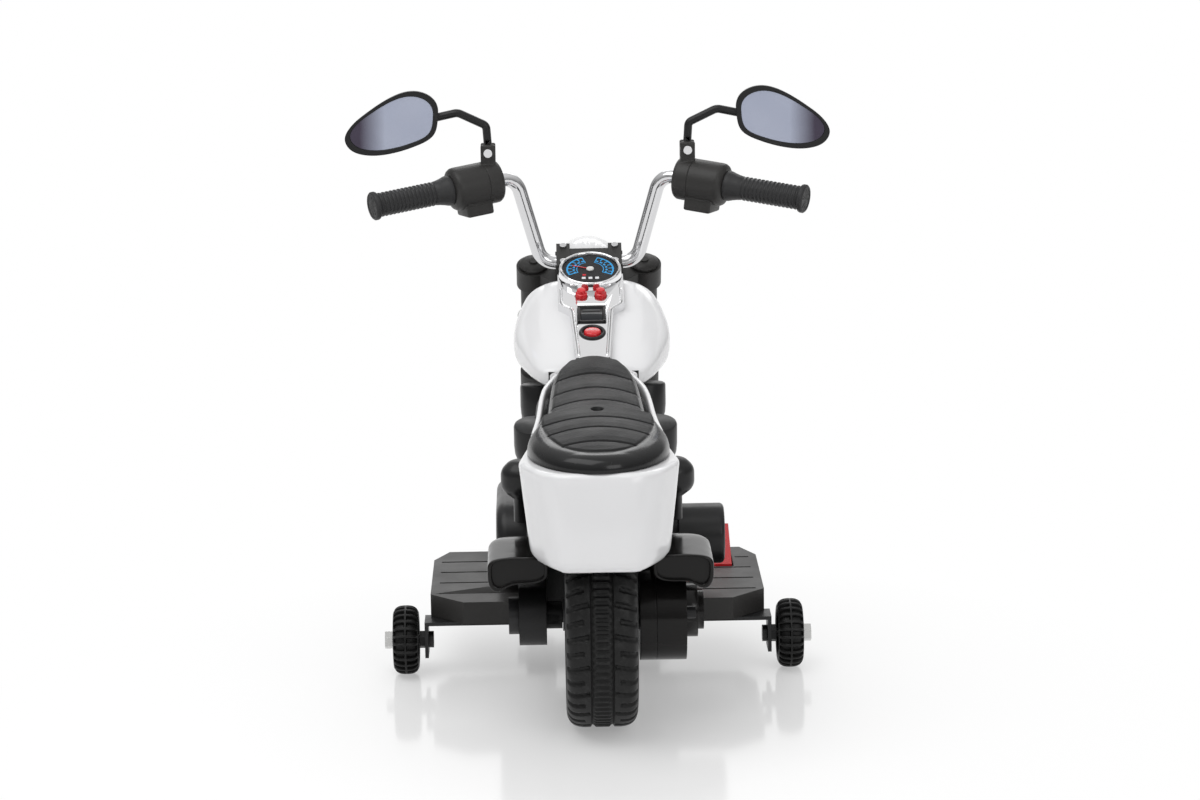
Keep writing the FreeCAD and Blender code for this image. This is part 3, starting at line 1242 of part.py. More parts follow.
def electrics():
    floor = s.chassis_floor_z + s.chassis_wall
    inside = s.chassis_half - s.chassis_wall - s.fit_gap
    node("battery", box("battery_block", (-s.battery_w / 2, s.battery_y, floor),
                        (s.battery_w / 2, s.battery_y + s.battery_l, floor + s.battery_h)))
    node("control_board", box("control_board_plate", (-inside, s.pcb_y, s.pcb_z),
                              (s.pcb_t - inside, s.pcb_y + s.board_l, s.pcb_z + s.board_h)))
    node("speaker", cylinder("speaker_can", "X", s.speaker_r, inside - s.speaker_t, inside,
                             s.speaker_y, s.speaker_z))
    outside = s.chassis_half + s.fit_gap
    mouth = outside + s.socket_flange
    body = revolved("charge_socket_body", "X", [
        (mouth - s.socket_len, 0), (mouth - s.socket_len, s.socket_r), (outside, s.socket_r),
        (outside, s.socket_flange_r), (mouth, s.socket_flange_r), (mouth, s.socket_bore_r),
        (mouth - s.socket_bore_len, s.socket_bore_r), (mouth - s.socket_bore_len, 0),
    ])
    node("charge_socket", body, s.socket_y, s.socket_z)


# Steering: stem, fork, lamp and front wheel


def yoke(name, low, thick, boss_low):
    """Fork plate: a bar across the two legs, narrowing back to the stem, with a boss round each leg."""
    front = s.fork_offset + s.yoke_half
    back = s.fork_offset - s.yoke_half
    plate = padded(name + "_plate", "XY_Plane", [
        (-s.leg_x, back), (-s.yoke_waist, -s.yoke_back), (s.yoke_waist, -s.yoke_back), (s.leg_x, back),
        (s.leg_x, front), (-s.leg_x, front),
    ], thick, offset=low)
    top = low + thick
    bosses = []
    holes = []
    for side, x in (("left", -s.leg_x), ("right", s.leg_x)):
        bosses.append(cylinder(f"{name}_{side}_boss", "Z", s.yoke_boss_r, boss_low, top, x, s.fork_offset))
        holes.append(cylinder(f"{name}_{side}_hole", "Z", s.leg_r + s.shaft_gap, boss_low - s.cut_over,
                              top + s.cut_over, x, s.fork_offset))
    return cut(name + "_bored", fuse(name + "_bossed", plate, *bosses), *holes)


def steering_stem():
    crown = yoke("crown", crown_top - s.crown_t, s.crown_t, crown_top - s.crown_t)
    stem = cylinder("stem_rod", "Z", s.stem_r, crown_top - s.crown_t, bridge_top, 0, 0)
    node("steering_stem", fuse("steering_stem_solid", crown, stem), head_y, s.head_z, s.rake)


def bar_seat(name):
    return cylinder(name, "X", s.bar_r + s.shaft_gap, -s.mount_half - s.cut_over, s.mount_half + s.cut_over,
                    0, s.bar_along)


def clamp_screw_places():
    places = []
    for x in (-s.clamp_x, s.clamp_x):
        for y in (-s.screw_ahead, s.screw_ahead):
            places.append((x, y))
    return places


def screw_holes(name):
    low = s.bar_along - s.screw_reach - s.fit_gap
    high = s.bar_along + s.clamp_h + s.cut_over
    return [cylinder(f"{name}_{number}", "Z", s.screw_r + s.shaft_gap, low, high, x, y)
            for number, (x, y) in enumerate(clamp_screw_places())]


def fork_bridge():
    plate = yoke("bridge", bridge_low, s.bridge_t, bridge_top - s.bridge_boss)
    block = box("bar_mount", (-s.mount_half, -s.mount_depth, bridge_low), (s.mount_half, s.mount_depth, s.bar_along))
    stem_hole = cylinder("bridge_stem_hole", "Z", s.stem_r + s.shaft_gap, bridge_low - s.cut_over, bridge_top,
                         0, 0)
    joined = fuse("bridge_joined", plate, block)
    bored = cut("bridge_solid", joined, bar_seat("bridge_bar_seat"), stem_hole, *screw_holes("bridge_screw_hole"))
    node("fork_bridge", bored, head_y, s.head_z, s.rake)


def handlebar_clamps():
    half = s.clamp_w / 2
    plates = []
    for side, x in (("left", -s.clamp_x), ("right", s.clamp_x)):
        plates.append(box("clamp_" + side, (x - half, -s.mount_depth, s.bar_along),
                          (x + half, s.mount_depth, s.bar_along + s.clamp_h)))
    cover = box("clamp_cover", (-s.clamp_x, -s.mount_depth, s.bar_along + s.bar_r + s.fit_gap),
                (s.clamp_x, s.screw_ahead - s.screw_r, s.bar_along + s.clamp_h - s.cover_drop))
    pair = fuse("clamp_blanks", *plates, cover)
    bored = cut("clamps_solid", pair, bar_seat("clamp_bar_seat"), *screw_holes("clamp_screw_hole"))
    node("handlebar_clamps", bored, head_y, s.head_z, s.rake)


def fork_legs():
    foot = -fork_len - s.slider_foot
    top = bridge_top + s.fit_gap + s.cap_rise
    shoulder = top - s.cap_bump
    leg = revolved("fork_leg", "Z", [
        (0, foot), (s.slider_r, foot), (s.slider_r, -s.slider_top), (s.leg_r, -s.slider_top),
        (s.leg_r, bridge_top + s.fit_gap), (s.cap_r, bridge_top + s.fit_gap),
        (s.cap_r, between(bridge_top, shoulder, HALF_SHARE)), (s.cap_r - s.cap_bump * 2, shoulder),
        (s.cap_bump_r, shoulder), (s.cap_bump_r, top), (0, top),
    ])
    bind(leg, "Placement.Base.x", s.leg_x)
    bind(leg, "Placement.Base.y", s.fork_offset)
    bore = cylinder("fork_axle_bore", "X", s.axle_r + s.shaft_gap, s.leg_x - s.slider_r - s.cut_over,
                    s.leg_x + s.slider_r + s.cut_over, s.fork_offset, -fork_len)
    right = cut("fork_leg_right", leg, bore)
    pair = group("fork_legs_pair", right, mirrored("fork_leg_left", right))
    node("fork_legs", pair, head_y, s.head_z, s.rake)


def front_axle():
    head = s.leg_x + s.slider_r + s.fit_gap
    body = revolved("front_axle_rod", "X", [
        (-head - s.axle_head_t, 0), (-head - s.axle_head_t, s.bolt_head_r), (-head, s.bolt_head_r),
        (-head, s.axle_r), (head, s.axle_r), (head, s.bolt_head_r), (head + s.axle_head_t, s.bolt_head_r),
        (head + s.axle_head_t, 0),
    ])
    node("front_axle", body, s.wheelbase, s.tyre_r)


def headlight():
    y, z = steer_point(-s.lamp_along, s.lamp_ahead)
    outer = [(s.lamp_r * r, s.lamp_back * along) for r, along in LAMP_SHARES]
    inner_r = s.lamp_r - s.lamp_wall
    inner_back = s.lamp_back - s.lamp_wall
    inner = [(inner_r * r, inner_back * along) for r, along in LAMP_SHARES]
    bowl = revolved("lamp_bowl", "Y", outer + [(s.lamp_r, s.lamp_front), (inner_r, s.lamp_front)] + inner[::-1])
    reach = s.leg_x - s.leg_r - s.fit_gap
    ear = box("lamp_ear_right", (s.lamp_ear_in, -s.lamp_ear_back, -s.lamp_ear_drop - s.lamp_ear_h / 2),
              (reach, as_size(0), s.lamp_ear_h / 2 - s.lamp_ear_drop))
    room = revolved("lamp_room", "Y", inner + [(inner_r, s.lamp_front), (0, s.lamp_front)])
    ears = cut("lamp_ears", group("lamp_ear_pair", ear, mirrored("lamp_ear_left", ear)), room)
    node("headlight_shell", fuse("headlight_solid", bowl, ears), y, z)
    glass_r = inner_r - s.fit_gap
    lens = revolved("lens_disc", "Y", [
        (0, s.lamp_front - s.lens_t), (glass_r, s.lamp_front - s.lens_t), (glass_r, s.lamp_front - s.lamp_wall),
        (0, s.lamp_front),
    ])
    node("headlight_lens", lens, y, z)


def front_fender():
    """Arched guard over the front wheel, held to the fork sliders by a tab on each side."""
    inner = s.tyre_r + s.front_fender_gap
    outer = inner + s.front_fender_wall
    edge = inner - s.front_fender_skirt
    half = s.front_fender_half
    thin = half - s.front_fender_wall
    body = new_body("front_fender_arch")
    sketch = outline_sketch(body, "XY_Plane", "front_fender_section", [
        (-half, edge), (-half, outer), (half, outer), (half, edge), (thin, edge), (thin, inner),
        (-thin, inner), (-thin, edge),
    ])
    turn = body.newObject("PartDesign::Revolution", "front_fender_turn")
    turn.Profile = sketch
    turn.ReferenceAxis = (sketch, ["H_Axis"])
    bind(turn, "Angle", s.front_fender_sweep)
    tilt_about_x(body, s.front_fender_start, s.wheelbase, s.tyre_r)
    reach = s.leg_x - s.slider_r - s.fit_gap
    y, z = steer_point(inner - s.front_fender_skirt * HALF_SHARE - fork_len, s.fork_offset)
    tab = cylinder("fender_tab_right", "X", s.fender_tab_r, thin, reach, y, z)
    node("front_fender", fuse("front_fender_solid", body, tab, mirrored("fender_tab_left", tab)))


# Handlebar and what it carries


def bar_direction():
    """Unit direction of the right bar end: swept back and dropped."""
    sweep = math.radians(float(s.bar_sweep))
    drop = math.radians(float(s.bar_drop))
    return Vector(math.cos(sweep) * math.cos(drop), -math.sin(sweep) * math.cos(drop), -math.sin(drop))


def bar_points():
    """Corners of the right half of the bar, from its middle to its end."""
    y, z = steer_point(s.bar_along, 0)
    flat = mm(s.bar_flat, y, z)
    riser = mm(s.riser_x, y - s.riser_back, z + s.riser_h)
    return flat, riser, riser + bar_direction() * float(s.bar_end_len)


def bent_wire(points, radius):
    """Straight runs joined by tangent arcs of one radius."""
    edges = []
    start = points[0]
    for before, corner, after in zip(points, points[1:], points[2:]):
        arriving = (corner - before).normalize()
        leaving = (after - corner).normalize()
        turn = arriving.getAngle(leaving)
        reach = radius * math.tan(turn / 2)
        entry = corner - arriving * reach
        leave = corner + leaving * reach
        inward = (leaving - arriving).normalize()
        middle = corner + inward * (radius / math.cos(turn / 2) - radius)
        edges.append(Part.LineSegment(start, entry).toShape())
        edges.append(Part.Arc(entry, middle, leave).toShape())
        start = leave
    edges.append(Part.LineSegment(start, points[-1]).toShape())
    return Part.Wire(edges)


def handlebar():
    right = list(bar_points())
    left = [Vector(-point.x, point.y, point.z) for point in reversed(right)]
    path = bent_wire(left + right, float(s.bar_bend))
    circle = Part.Circle(left[0], left[1] - left[0], float(s.bar_r))
    bar = path.makePipeShell([Part.Wire(circle.toShape())], True, False)
    node("handlebar", shaped("handlebar_tube", bar))


def on_bar_end(thing):
    """Set a piece drawn along X on the right bar end, from the top of the riser."""
    thing.Placement = Placement(bar_points()[1], Rotation(X_AXIS, bar_direction()))
    return thing


def mirror_pivot():
    """Centre of the right mirror's hinge, above the control box."""
    place = bar_points()[1] + bar_direction() * float(s.mirror_along)
    return place + Vector(0, 0, float(s.mirror_rise))


def world_box(low, high):
    """A plain block between two corners that are already in the bike's own axes."""
    size = high - low
    return Part.makeBox(size.x, size.y, size.z, low)


def control_box():
    """Switch drum with its lower block and the forked post that holds a mirror."""
    end = s.pod_start + s.pod_len
    drum = cylinder("pod_drum", "X", s.pod_r, s.pod_start, end, 0, 0)
    middle = (s.pod_start + end) / 2
    low_box = box("pod_box", (middle - s.pod_box_w / 2, -s.pod_box_d / 2, -s.pod_box_drop),
                  (middle + s.pod_box_w / 2, s.pod_box_d / 2, as_size(0)))
    pod = on_bar_end(fuse("pod_switches", drum, low_box))
    bore = cylinder("pod_bore_rod", "X", s.bar_r + s.shaft_gap, 0, end + s.cut_over, 0, 0)
    bore = on_bar_end(group("pod_bore", bore))
    pivot = mirror_pivot()
    half_w = float(s.post_w) / 2
    half_d = float(s.post_d) / 2
    foot = Vector(pivot.x - half_w, pivot.y - half_d, pivot.z - float(s.mirror_rise))
    post = world_box(foot, Vector(pivot.x + half_w, pivot.y + half_d, pivot.z + float(s.post_top)))
    slot_half = float(s.eye_t) / 2 + float(s.run_gap)
    over = float(s.cut_over)
    slot = world_box(Vector(pivot.x - half_w - over, pivot.y - slot_half, pivot.z - float(s.eye_r + s.run_gap)),
                     Vector(pivot.x + half_w + over, pivot.y + slot_half, pivot.z + float(s.post_top) + over))
    hinge = Part.makeCylinder(float(s.hinge_r + s.shaft_gap), float(s.post_d) * 2,
                              pivot - Vector(0, float(s.post_d), 0), Y_AXIS)
    post = shaped("mirror_post", post.cut(slot).cut(hinge))
    return cut("control_box_solid", fuse("pod_joined", pod, post), bore)


def control_boxes():
    right = control_box()
    left = mirrored("control_box_mirrored", right)
    node("control_box_left", group("control_box_left_set", left))
    node("control_box_right", group("control_box_right_set", right))


def grips():
    start = s.pod_start + s.pod_len + s.fit_gap
    end = start + s.grip_len
    bore = s.bar_r + s.shaft_gap
    body = revolved("grip_right", "X", [
        (start, bore), (start, s.grip_collar_r), (start + s.grip_collar, s.grip_r), (end - s.grip_flange, s.grip_r),
        (end - s.grip_flange, s.grip_flange_r), (end, s.grip_flange_r), (end, 0),
        (s.bar_end_len + s.fit_gap, 0), (s.bar_end_len + s.fit_gap, bore),
    ])
    on_bar_end(body)
    node("grips", group("grips_pair", body, mirrored("grip_left", body)))


def egg_wire(centre, y, scale, inset):
    half_w = float(s.mirror_w) / 2 * scale - inset
    half_h = float(s.mirror_h) / 2 * scale - inset
    points = [Vector(centre.x + half_w * wide, y, centre.z + half_h * high) for wide, high in EGG_SHARES]
    curve = Part.BSplineCurve()
    curve.interpolate(points, PeriodicFlag=True)
    return Part.Wire(curve.toShape())


def mirror():
    """Egg-shaped shell on a bent arm with its hinge eye; the glass sits in a recess on the rear side."""
    pivot = mirror_pivot()
    centre = pivot + mm(s.mirror_gap_x + s.mirror_w / 2, 0, s.mirror_lift)
    back = pivot.y - float(s.mirror_back)
    depth = float(s.mirror_depth)
    wires = [egg_wire(centre, back + depth * along, scale, 0)
             for along, scale in zip(EGG_DEPTH_SHARES, EGG_SCALE_SHARES)]
    shell = Part.makeLoft(wires, True)
    radius = float(s.mirror_arm_r)
    corners = [pivot, pivot + mm(0, 0, s.mirror_arm_rise), pivot + mm(s.mirror_elbow_x, 0, s.mirror_elbow_rise),
               pivot + mm(s.mirror_gap_x + s.mirror_rim, 0, s.mirror_elbow_rise)]
    arm = Part.makeSphere(radius, corners[1]).fuse(Part.makeSphere(radius, corners[2]))
    for start, end in zip(corners, corners[1:]):
        run = end - start
        arm = arm.fuse(Part.makeCylinder(radius, run.Length, start, run))
    half_t = float(s.eye_t) / 2
    eye_start = pivot - Vector(0, half_t, 0)
    eye = Part.makeCylinder(float(s.eye_r), float(s.eye_t), eye_start, Y_AXIS)
    slab = world_box(pivot - mm(s.eye_r, 0, s.eye_r) - Vector(0, half_t, 0),
                     pivot + mm(s.eye_r, 0, s.eye_neck) + Vector(0, half_t, 0))
    neck = arm.common(slab).fuse(eye)
    low = pivot.z + float(s.eye_neck)
    upper = arm.cut(world_box(pivot - mm(s.eye_r, s.post_d, s.eye_r), Vector(
        pivot.x + float(s.eye_r), pivot.y + float(s.post_d), low)))
    recess = Part.Face(egg_wire(centre, back, 1, float(s.mirror_rim))).extrude(mm(0, s.mirror_recess, 0))
    bore = Part.makeCylinder(float(s.hinge_r + s.shaft_gap), float(s.post_d), pivot - mm(0, s.post_d / 2, 0), Y_AXIS)
    solid = shell.cut(recess).fuse(upper).fuse(neck).cut(recess).cut(bore).removeSplitter()
    glass_start = back + float(s.mirror_recess - s.glass_t)
    glass = Part.Face(egg_wire(centre, glass_start, 1, float(s.mirror_rim + s.fit_gap))).extrude(mm(0, s.glass_t, 0))
    return solid, glass


def mirrors():
    solid, glass = mirror()
    for label, shape in (("mirror", solid), ("mirror_glass", glass)):
        right = shaped(label + "_right_solid", shape)
        node(label + "_left", group(label + "_left_set", mirrored(label + "_left_solid", right)))
        node(label + "_right", group(label + "_right_set", right))


def steering_screws():
    """Clamp screws along the steering axis and the two mirror hinge screws."""
    low = s.bar_along - s.screw_reach
    top = s.bar_along + s.clamp_h
    pieces = []
    for number, (x, y) in enumerate(clamp_screw_places()):
        shank = cylinder(f"clamp_screw_shank_{number}", "Z", s.screw_r, low, top + s.fit_gap, x, y)
        head = cylinder(f"clamp_screw_head_{number}", "Z", s.screw_head_r, top + s.fit_gap,
                        top + s.fit_gap + s.screw_head, x, y)
        pieces.append(tilt_about_x(fuse(f"clamp_screw_{number}", shank, head), s.rake, head_y, s.head_z))
    pivot = mirror_pivot()
    back = float(s.post_d) / 2 + float(s.fit_gap)
    shank = Part.makeCylinder(float(s.hinge_r), back + float(s.post_d) / 2, pivot - Vector(0, back, 0), Y_AXIS)
    head = Part.makeCylinder(float(s.hinge_head_r), float(s.hinge_head), pivot - Vector(0, back, 0), -Y_AXIS)
    right = shaped("mirror_screw_right", shank.fuse(head).removeSplitter())
    pieces += [right, mirrored("mirror_screw_left", right)]
    node("steering_screws", group("steering_screws_set", *pieces))


# Build every piece, check it and write it out


def build():
    chassis_left()
    chassis_right()
    head_sleeve()
    tank_outer = fuel_tank()
    dash_console(tank_outer)
    dash_fittings()
    power_switch_rocker()
    screw = seat()
    rear_fender()
    shocks()
    exhausts()
    engine_covers()
    air_cleaner()
    primary_cover()
    pin = footboards()
    node("screw_and_pin", group("screw_and_pin_set", screw, pin))
    accelerator_pedal()
    pedal_spring()
    pedal_switch()
    stabiliser_brackets()
    stabiliser_bolts()
    stabiliser_wheels()
    rear_axle()
    gearbox()
    drive_motor()
    electrics()
    hub_right = gear_end + s.fit_gap
    hub_left = s.rear_tyre_w / 2 + s.hub_stub
    node("rear_tyre", tyre("rear_tyre_ring", s.rear_tyre_w), 0, s.tyre_r)
    node("rear_rim", rim("rear_rim_spool", s.rear_tyre_w, hub_left, hub_right), 0, s.tyre_r)
    node("drive_gear", drive_gear(), 0, s.tyre_r)
    node("motor_pinion", motor_pinion(), motor_y, motor_z)
    front_hub = s.leg_x - s.slider_r - s.run_gap
    node("front_tyre", tyre("front_tyre_ring", s.front_tyre_w), s.wheelbase, s.tyre_r)
    node("front_rim", rim("front_rim_spool", s.front_tyre_w, front_hub, front_hub), s.wheelbase, s.tyre_r)
    steering_stem()
    fork_bridge()
    handlebar_clamps()
    fork_legs()
    front_axle()
    headlight()
    front_fender()
    handlebar()
    control_boxes()
    grips()
    mirrors()
    steering_screws()


def write_parts():
    doc.recompute()
    for thing in doc.Objects:
        if "Invalid" in thing.State or "Error" in thing.State:
            raise RuntimeError(f"{thing.Name} failed: {thing.State}")
    for piece in nodes:
        if piece.Shape.isNull() or not piece.Shape.isValid() or not piece.Shape.Solids:
            raise RuntimeError(f"{piece.Label} has no sound shape")
    os.makedirs("parts", exist_ok=True)
    for piece in nodes:
        piece.Shape.exportStep(f"parts/{piece.Label}.step")


build()
write_parts()
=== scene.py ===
"""Looks of a kids electric motorbike: white bodywork, pleated seat, chromed bar and black running gear."""

import json
import math

import bmesh
import bpy
from mathutils import Matrix, Vector

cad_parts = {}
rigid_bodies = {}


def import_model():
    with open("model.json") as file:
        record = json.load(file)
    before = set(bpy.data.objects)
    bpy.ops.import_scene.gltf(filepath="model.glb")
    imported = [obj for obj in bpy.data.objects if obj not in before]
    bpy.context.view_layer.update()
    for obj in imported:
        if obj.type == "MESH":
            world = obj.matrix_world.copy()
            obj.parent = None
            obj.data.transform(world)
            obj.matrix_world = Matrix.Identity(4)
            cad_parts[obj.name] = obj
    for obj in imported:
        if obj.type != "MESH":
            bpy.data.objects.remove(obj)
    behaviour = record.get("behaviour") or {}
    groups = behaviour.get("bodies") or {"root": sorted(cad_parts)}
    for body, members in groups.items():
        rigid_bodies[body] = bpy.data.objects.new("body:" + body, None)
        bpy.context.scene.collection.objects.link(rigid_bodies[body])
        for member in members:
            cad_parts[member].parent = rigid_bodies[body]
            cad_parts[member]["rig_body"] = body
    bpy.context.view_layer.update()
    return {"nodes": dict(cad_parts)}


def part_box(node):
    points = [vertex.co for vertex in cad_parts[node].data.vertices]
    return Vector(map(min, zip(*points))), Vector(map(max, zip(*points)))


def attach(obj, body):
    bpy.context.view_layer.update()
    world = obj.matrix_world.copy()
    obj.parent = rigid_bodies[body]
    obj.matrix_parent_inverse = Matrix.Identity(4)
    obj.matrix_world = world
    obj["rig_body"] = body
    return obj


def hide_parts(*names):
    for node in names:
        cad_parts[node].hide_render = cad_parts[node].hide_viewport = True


bl_info = {
    "name": "Kids electric motorbike",
    "version": (1, 0, 0),
    "blender": (4, 5, 0),
    "location": "View3D > Sidebar > Motorbike",
    "description": "Dresses the motorbike's solids with bodywork, seat, wheels, controls and finishes",
    "category": "Object",
}

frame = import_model()

MM = 0.001
WELD = MM * 0.02
FULL_TURN = math.tau
TYRE_LOW, TYRE_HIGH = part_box("rear_tyre")
REAR_AXLE = (TYRE_LOW + TYRE_HIGH) / 2
FRONT_LOW, FRONT_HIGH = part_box("front_tyre")
FRONT_AXLE = (FRONT_LOW + FRONT_HIGH) / 2


def at(x, y, z):
    """Point in metres from millimetres; y is measured forward of the rear axle."""
    return Vector((x * MM, y * MM + REAR_AXLE.y, z * MM))


DECK = Matrix.Translation(at(0, 186.2, 262)) @ Matrix.Rotation(math.radians(21.54), 4, "X")
DIAL_ALONG = 134.0
DIAL_RADIUS = 24.2
BUTTON_ALONG = 98.0
BUTTON_ASIDE = 8.3
PLAYER_ALONG = 67.5
SWITCH_ALONG = 39.0
BAR_DIRECTION = Vector((0.9041, -0.4120, -0.1132)).normalized()
BAR_TURN = Vector((1, 0, 0)).rotation_difference(BAR_DIRECTION).to_matrix().to_4x4()
BAR_END = Matrix.Translation(at(64, 360.32, 390.97)) @ BAR_TURN
MIRROR_PIVOT = BAR_END @ Vector((26 * MM, 0, 0)) + Vector((0, 0, 27 * MM))
MIRRORED = Matrix.Scale(-1, 4, (1, 0, 0))
SIDES = (("right", Matrix.Identity(4)), ("left", MIRRORED))
UPRIGHT = Matrix.Rotation(-math.pi / 2, 4, "Y")
GRIP_START = 63.4
GRIP_END = 137.6
BAR_TIP = GRIP_END - 4.0


# User settings


class BikeFinishes(bpy.types.PropertyGroup):
    """Colours of the motorbike's mouldings."""

    bodywork: bpy.props.FloatVectorProperty(
        name="Bodywork", description="Colour of the tank and fenders", subtype="COLOR",
        default=(0.82, 0.82, 0.83))
    plastic: bpy.props.FloatVectorProperty(
        name="Black plastic", description="Colour of the dark mouldings", subtype="COLOR",
        default=(0.011, 0.011, 0.0115))
    seat: bpy.props.FloatVectorProperty(
        name="Seat", description="Colour of the moulded seat", subtype="COLOR",
        default=(0.011, 0.011, 0.0115))
    tyre: bpy.props.FloatVectorProperty(
        name="Tyres", description="Colour of the tyres", subtype="COLOR",
        default=(0.011, 0.011, 0.011))
    signal: bpy.props.FloatVectorProperty(
        name="Buttons and pedal", description="Colour of the buttons, switch and pedal", subtype="COLOR",
        default=(0.72, 0.014, 0.022))
    print_blue: bpy.props.FloatVectorProperty(
        name="Dial print", description="Colour of the scales on the dial", subtype="COLOR",
        default=(0.03, 0.34, 0.72))


class BikeDetails(bpy.types.PropertyGroup):
    """Sizes of details that the solids leave plain."""

    pleat_depth: bpy.props.FloatProperty(
        name="Pleat depth", description="Depth of the seat's moulded pleats", unit="LENGTH", default=0.0012)
    tread_depth: bpy.props.FloatProperty(
        name="Tread depth", description="Depth of the grooves in the tyres", unit="LENGTH", default=0.0026)
    grip_rings: bpy.props.IntProperty(
        name="Grip rings", description="Number of raised rings on each grip", default=14)
    edge_round: bpy.props.FloatProperty(
        name="Edge rounding", description="Rounding of moulded edges", unit="LENGTH", default=0.0009)
    fin_count: bpy.props.IntProperty(
        name="Cylinder fins", description="Number of fins on each dummy cylinder", default=4)


class BikeStudio(bpy.types.PropertyGroup):
    """Camera and light."""

    elevation: bpy.props.FloatProperty(
        name="Elevation", description="Angle of the camera above the floor", subtype="ANGLE",
        default=math.radians(12))
    turn: bpy.props.FloatProperty(
        name="Turn", description="Turn of the camera about the motorbike", subtype="ANGLE",
        default=math.radians(-0.88))
    roll: bpy.props.FloatProperty(
        name="Roll", description="Roll of the camera", subtype="ANGLE",
        default=math.radians(0.85))
    distance: bpy.props.FloatProperty(
        name="Distance", description="Camera distance from the rear axle", unit="LENGTH", default=2.8)
    lens: bpy.props.FloatProperty(
        name="Lens", description="Focal length in millimetres", default=105.0)
    sky: bpy.props.FloatProperty(
        name="Room light", description="Strength of the light from all around", default=0.4)


# Node trees


class Value:
    """A socket in a finish's node tree; arithmetic on it adds Math nodes."""

    def __init__(self, finish, socket):
        self.finish = finish
        self.socket = socket

    def other(self, name):
        """Another output of the node that this value comes from."""
        return Value(self.finish, self.socket.node.outputs[name])

    def __add__(self, other):
        return self.finish.maths("ADD", self, other)

    def __radd__(self, other):
        return self.finish.maths("ADD", other, self)

    def __sub__(self, other):
        return self.finish.maths("SUBTRACT", self, other)

    def __rsub__(self, other):
        return self.finish.maths("SUBTRACT", other, self)

    def __mul__(self, other):
        return self.finish.maths("MULTIPLY", self, other)

    def __rmul__(self, other):
        return self.finish.maths("MULTIPLY", other, self)

    def __gt__(self, other):
        return self.finish.maths("GREATER_THAN", self, other)

    def __lt__(self, other):
        return self.finish.maths("LESS_THAN", self, other)


class Finish:
    """A material, or the room's light, under construction."""

    def __init__(self, name, owner=None):
        self.material = owner or bpy.data.materials.new(name)
        self.material.use_nodes = True
        self.tree = self.material.node_tree
        self.tree.nodes.clear()

    def add(self, kind, settings=None, sockets=None, output=0):
        """Add a node: its settings first, then values or links for its sockets."""
        node = self.tree.nodes.new(kind)
        for name, value in (settings or {}).items():
            setattr(node, name, value)
        for name, value in (sockets or {}).items():
            if isinstance(value, Value):
                self.tree.links.new(value.socket, node.inputs[name])
            else:
                node.inputs[name].default_value = value
        return Value(self, node.outputs[output])

    def place(self):
        """Place on the piece, in the frame's metres."""
        return self.add("ShaderNodeTexCoord", output="Object")

    def maths(self, operation, first, second=0.5):
        """Math node on numbers or values."""
        return self.add("ShaderNodeMath", {"operation": operation}, {0: first, 1: second})

    def noise(self, scale, detail=3.0, roughness=0.55):
        """Cloudy pattern on the piece."""
        return self.add("ShaderNodeTexNoise", None,
                        {"Vector": self.place(), "Scale": scale, "Detail": detail, "Roughness": roughness})

    def drifting(self, scale, detail, low, high, roughness=0.55):
        """Value that drifts in clouds between two numbers."""
        return self.ranged(self.noise(scale, detail, roughness), 0.3, 0.7, low, high)

    def cells(self, scale):
        """Distances in a pattern of small cells, as in a mould's grain."""
        return self.add("ShaderNodeTexVoronoi", {"feature": "F1"}, {"Vector": self.place(), "Scale": scale})

    def ranged(self, value, low, high, start, end):
        """Value carried from one range to another, held at its ends."""
        return self.add("ShaderNodeMapRange", None,
                        {"Value": value, "From Min": low, "From Max": high, "To Min": start, "To Max": end})

    def mixed(self, share, first, second):
        """Colour between two colours."""
        return self.add("ShaderNodeMix", {"data_type": "RGBA"}, {0: share, 6: first, 7: second}, output=2)

    def attribute(self, name):
        """Value stored on the piece's points."""
        return self.add("ShaderNodeAttribute", {"attribute_name": name}, None, output="Fac")

    def edge(self, radius):
        """Normal that rounds sharp edges over a small radius."""
        return self.add("ShaderNodeBevel", {"samples": 4}, {"Radius": radius})

    def bump(self, height, strength, distance, normal=None):
        """Normal raised and sunk by a height."""
        sockets = {"Height": height, "Strength": strength, "Distance": distance}
        if normal:
            sockets["Normal"] = normal
        return self.add("ShaderNodeBump", None, sockets)

    def done(self, **sockets):
        """Close the tree with a principled shader; underscores in socket names stand for spaces."""
        named = {name.replace("_", " "): value for name, value in sockets.items()}
        shader = self.add("ShaderNodeBsdfPrincipled", None, named)
        self.add_output(shader)
        return self.material

    def add_output(self, shader, kind="ShaderNodeOutputMaterial"):
        """Link a shader to the tree's output."""
        output = self.tree.nodes.new(kind)
        self.tree.links.new(shader.socket, output.inputs["Surface"])


def between(value, low, high):
    """Mask that is 1 where a value lies between two numbers."""
    return (value > low) * (value < high)


def opaque(colour):
    """Colour as a socket takes it."""
    return (*colour, 1.0)


def shade(colour, factor):
    """Colour made lighter or darker, as a socket takes it."""
    return tuple(min(part * factor, 1.0) for part in colour) + (1.0,)


# Finishes


def gloss_white(colour, rounding):
    """White bodywork with a lacquered gloss and a faint orange peel."""
    finish = Finish("gloss_white")
    drift = finish.noise(7.0, 2.0)
    tone = finish.mixed(drift, shade(colour, 0.975), opaque(colour))
    rough = finish.drifting(38.0, 4.0, 0.13, 0.22)
    peel = finish.bump(finish.noise(420.0, 2.0), 0.035, 0.0005, finish.edge(rounding))
    return finish.done(Base_Color=tone, Roughness=rough, Coat_Weight=0.35, Coat_Roughness=0.06, Normal=peel)


